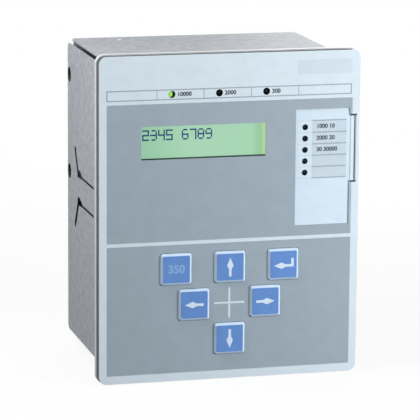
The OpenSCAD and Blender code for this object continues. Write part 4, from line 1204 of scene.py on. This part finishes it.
def screw_tree():
    tree, start, end = tree_with_inputs(
        "screw", "head_radius", "head_height", "shank_radius", "shank_length",
        "slot_width", "slot_depth", "slot_length", "cross_length", "tilt")
    size = start.outputs
    head = round_bar(tree, size["head_radius"], size["head_height"], 0, rings=HEAD_RINGS)
    head = shouldered(tree, head, size["head_height"])
    cut = tree.nodes.new("GeometryNodeMeshBoolean")
    cut.operation = "DIFFERENCE"
    tree.links.new(head, cut.inputs["Mesh 1"])
    for length, upright in ((size["slot_length"], False), (size["cross_length"], True)):
        tool = slot_bar(tree, length, size["slot_width"], size["slot_depth"], upright)
        tree.links.new(tool, cut.inputs["Mesh 2"])
    inside = math_node(tree, "MULTIPLY", size["head_height"], -INSIDE_HEAD)
    shank = round_bar(tree, size["shank_radius"], size["shank_length"], inside, sides=SHANK_SIDES)
    screw = joined_shapes(tree, cut.outputs["Mesh"], shank)
    placed = at_points(tree, screw, size["Geometry"], size["tilt"], SCREW_SEED)
    close_tree(tree, placed, finishes["zinc_screw"], end)
    return tree


screw = screw_tree()
print("screw tree:", len(screw.nodes), "nodes")

# %% [markdown]
# ## Three kinds of screw
# The same tree makes pan heads with a cross under the case and beside the terminal block, and the flat
# slotted clamp screws, large and small, that sit down their holes in the terminals. Only the sizes
# differ.

# %% Place the screws
UP, TO_REAR, DOWN = 0.0, radians(-90), radians(180)
LOW_END, HIGH_END = 0, 1
CROSSED = {"head_radius": 2.8, "head_height": 1.8, "shank_radius": 1.5,
           "slot_width": 0.8, "slot_depth": 1.1, "slot_length": 3.4, "cross_length": 3.4}
LARGE_CLAMP = {"head_radius": 2.4, "head_height": 2.2, "shank_radius": 1.9,
               "slot_width": 0.9, "slot_depth": 1.0, "slot_length": 6.0, "cross_length": 0.4}
SMALL_CLAMP = {"head_radius": 1.6, "head_height": 1.8, "shank_radius": 1.25,
               "slot_width": 0.6, "slot_depth": 0.7, "slot_length": 4.0, "cross_length": 0.3}
# Kind of screw, its axis, the end of the axis that its head is at, and the tilt from upright.
SCREWS = {
    "base_screws": (CROSSED, Z_AXIS, LOW_END, DOWN),
    "ct_block_screws": (CROSSED, Y_AXIS, HIGH_END, TO_REAR),
    "ct_terminal_screws": (LARGE_CLAMP, Y_AXIS, HIGH_END, TO_REAR),
    "plug_screws_left": (SMALL_CLAMP, Z_AXIS, HIGH_END, UP),
    "plug_screws_right": (SMALL_CLAMP, Z_AXIS, HIGH_END, UP),
}

for node, (kind, axis, outer, tilt) in SCREWS.items():
    boxes = loose_boxes(node)
    low, high = boxes[0]
    sizes = {label: value * MM for label, value in kind.items()}
    sizes["shank_length"] = high[axis] - low[axis] - INSIDE_HEAD * sizes["head_height"]
    piece = grow(node + "_cut", head_places(boxes, axis, outer), screw, nodes[node]["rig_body"],
                 slot_of[node], tilt=tilt, **sizes)
    smooth(piece.data)
    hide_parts(node)
    print(node, "has", len(piece.data.polygons), "faces")

# %% [markdown]
# ## Thread of the earth stud
# The earth wire's ring goes over a threaded stud beside the terminals. A thread is a ridge that climbs
# round a core: a spiral curve, swept with a small four-sided profile, gives just that. The stud's round
# head, inside the case, stays a plain disc.

# %% Cut the thread
THREAD_PITCH = 0.7
THREAD_RIDGE = 0.28
STUD_RADIUS = 2.0
STUD_HEAD = (4.0, 1.5)
TURN_POINTS = 24
RIDGE_SIDES = 4
STUD_SEED = 0


def thread_tree():
    tree, start, end = tree_with_inputs(
        "threaded_stud", "core_radius", "length", "ridge", "turns", "head_radius", "head_height", "tilt")
    add = tree.nodes.new
    link = tree.links.new
    size = start.outputs
    core = round_bar(tree, size["core_radius"], size["length"], 0)
    head_top = math_node(tree, "MULTIPLY", size["length"], -1)
    head = round_bar(tree, size["head_radius"], size["head_height"], head_top)
    spiral = add("GeometryNodeCurveSpiral")
    spiral.inputs["Resolution"].default_value = TURN_POINTS
    link(size["turns"], spiral.inputs["Rotations"])
    for end_radius in ("Start Radius", "End Radius"):
        link(size["core_radius"], spiral.inputs[end_radius])
    ends = math_node(tree, "MULTIPLY", size["ridge"], 2)
    link(math_node(tree, "SUBTRACT", ends, size["length"]), spiral.inputs["Height"])
    upright = add("GeometryNodeSetCurveNormal")
    upright.mode = "Z_UP"
    link(spiral.outputs[0], upright.inputs["Curve"])
    profile = add("GeometryNodeCurvePrimitiveCircle")
    profile.inputs["Resolution"].default_value = RIDGE_SIDES
    link(size["ridge"], profile.inputs["Radius"])
    sweep = add("GeometryNodeCurveToMesh")
    sweep.inputs["Fill Caps"].default_value = True
    link(upright.outputs[0], sweep.inputs["Curve"])
    link(profile.outputs[0], sweep.inputs["Profile Curve"])
    thread = raised(tree, sweep.outputs[0], math_node(tree, "MULTIPLY", size["ridge"], -1))
    stud = joined_shapes(tree, core, head, thread)
    placed = at_points(tree, stud, size["Geometry"], size["tilt"], STUD_SEED)
    close_tree(tree, placed, finishes["plated_brass"], end)
    return tree


low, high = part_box("earth_stud")
stud_end = Vector(((low.x + high.x) / 2, high.y, (low.z + high.z) / 2))
head_radius, head_height = [size * MM for size in STUD_HEAD]
stud_length = high.y - low.y - head_height
stud = grow("threaded_stud", [stud_end], thread_tree(), "relay", slot_of["earth_stud"],
            core_radius=(STUD_RADIUS - THREAD_RIDGE) * MM, length=stud_length, ridge=THREAD_RIDGE * MM,
            turns=stud_length / (THREAD_PITCH * MM), head_radius=head_radius, head_height=head_height,
            tilt=TO_REAR)
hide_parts("earth_stud")
print("thread:", len(stud.data.polygons), "faces")
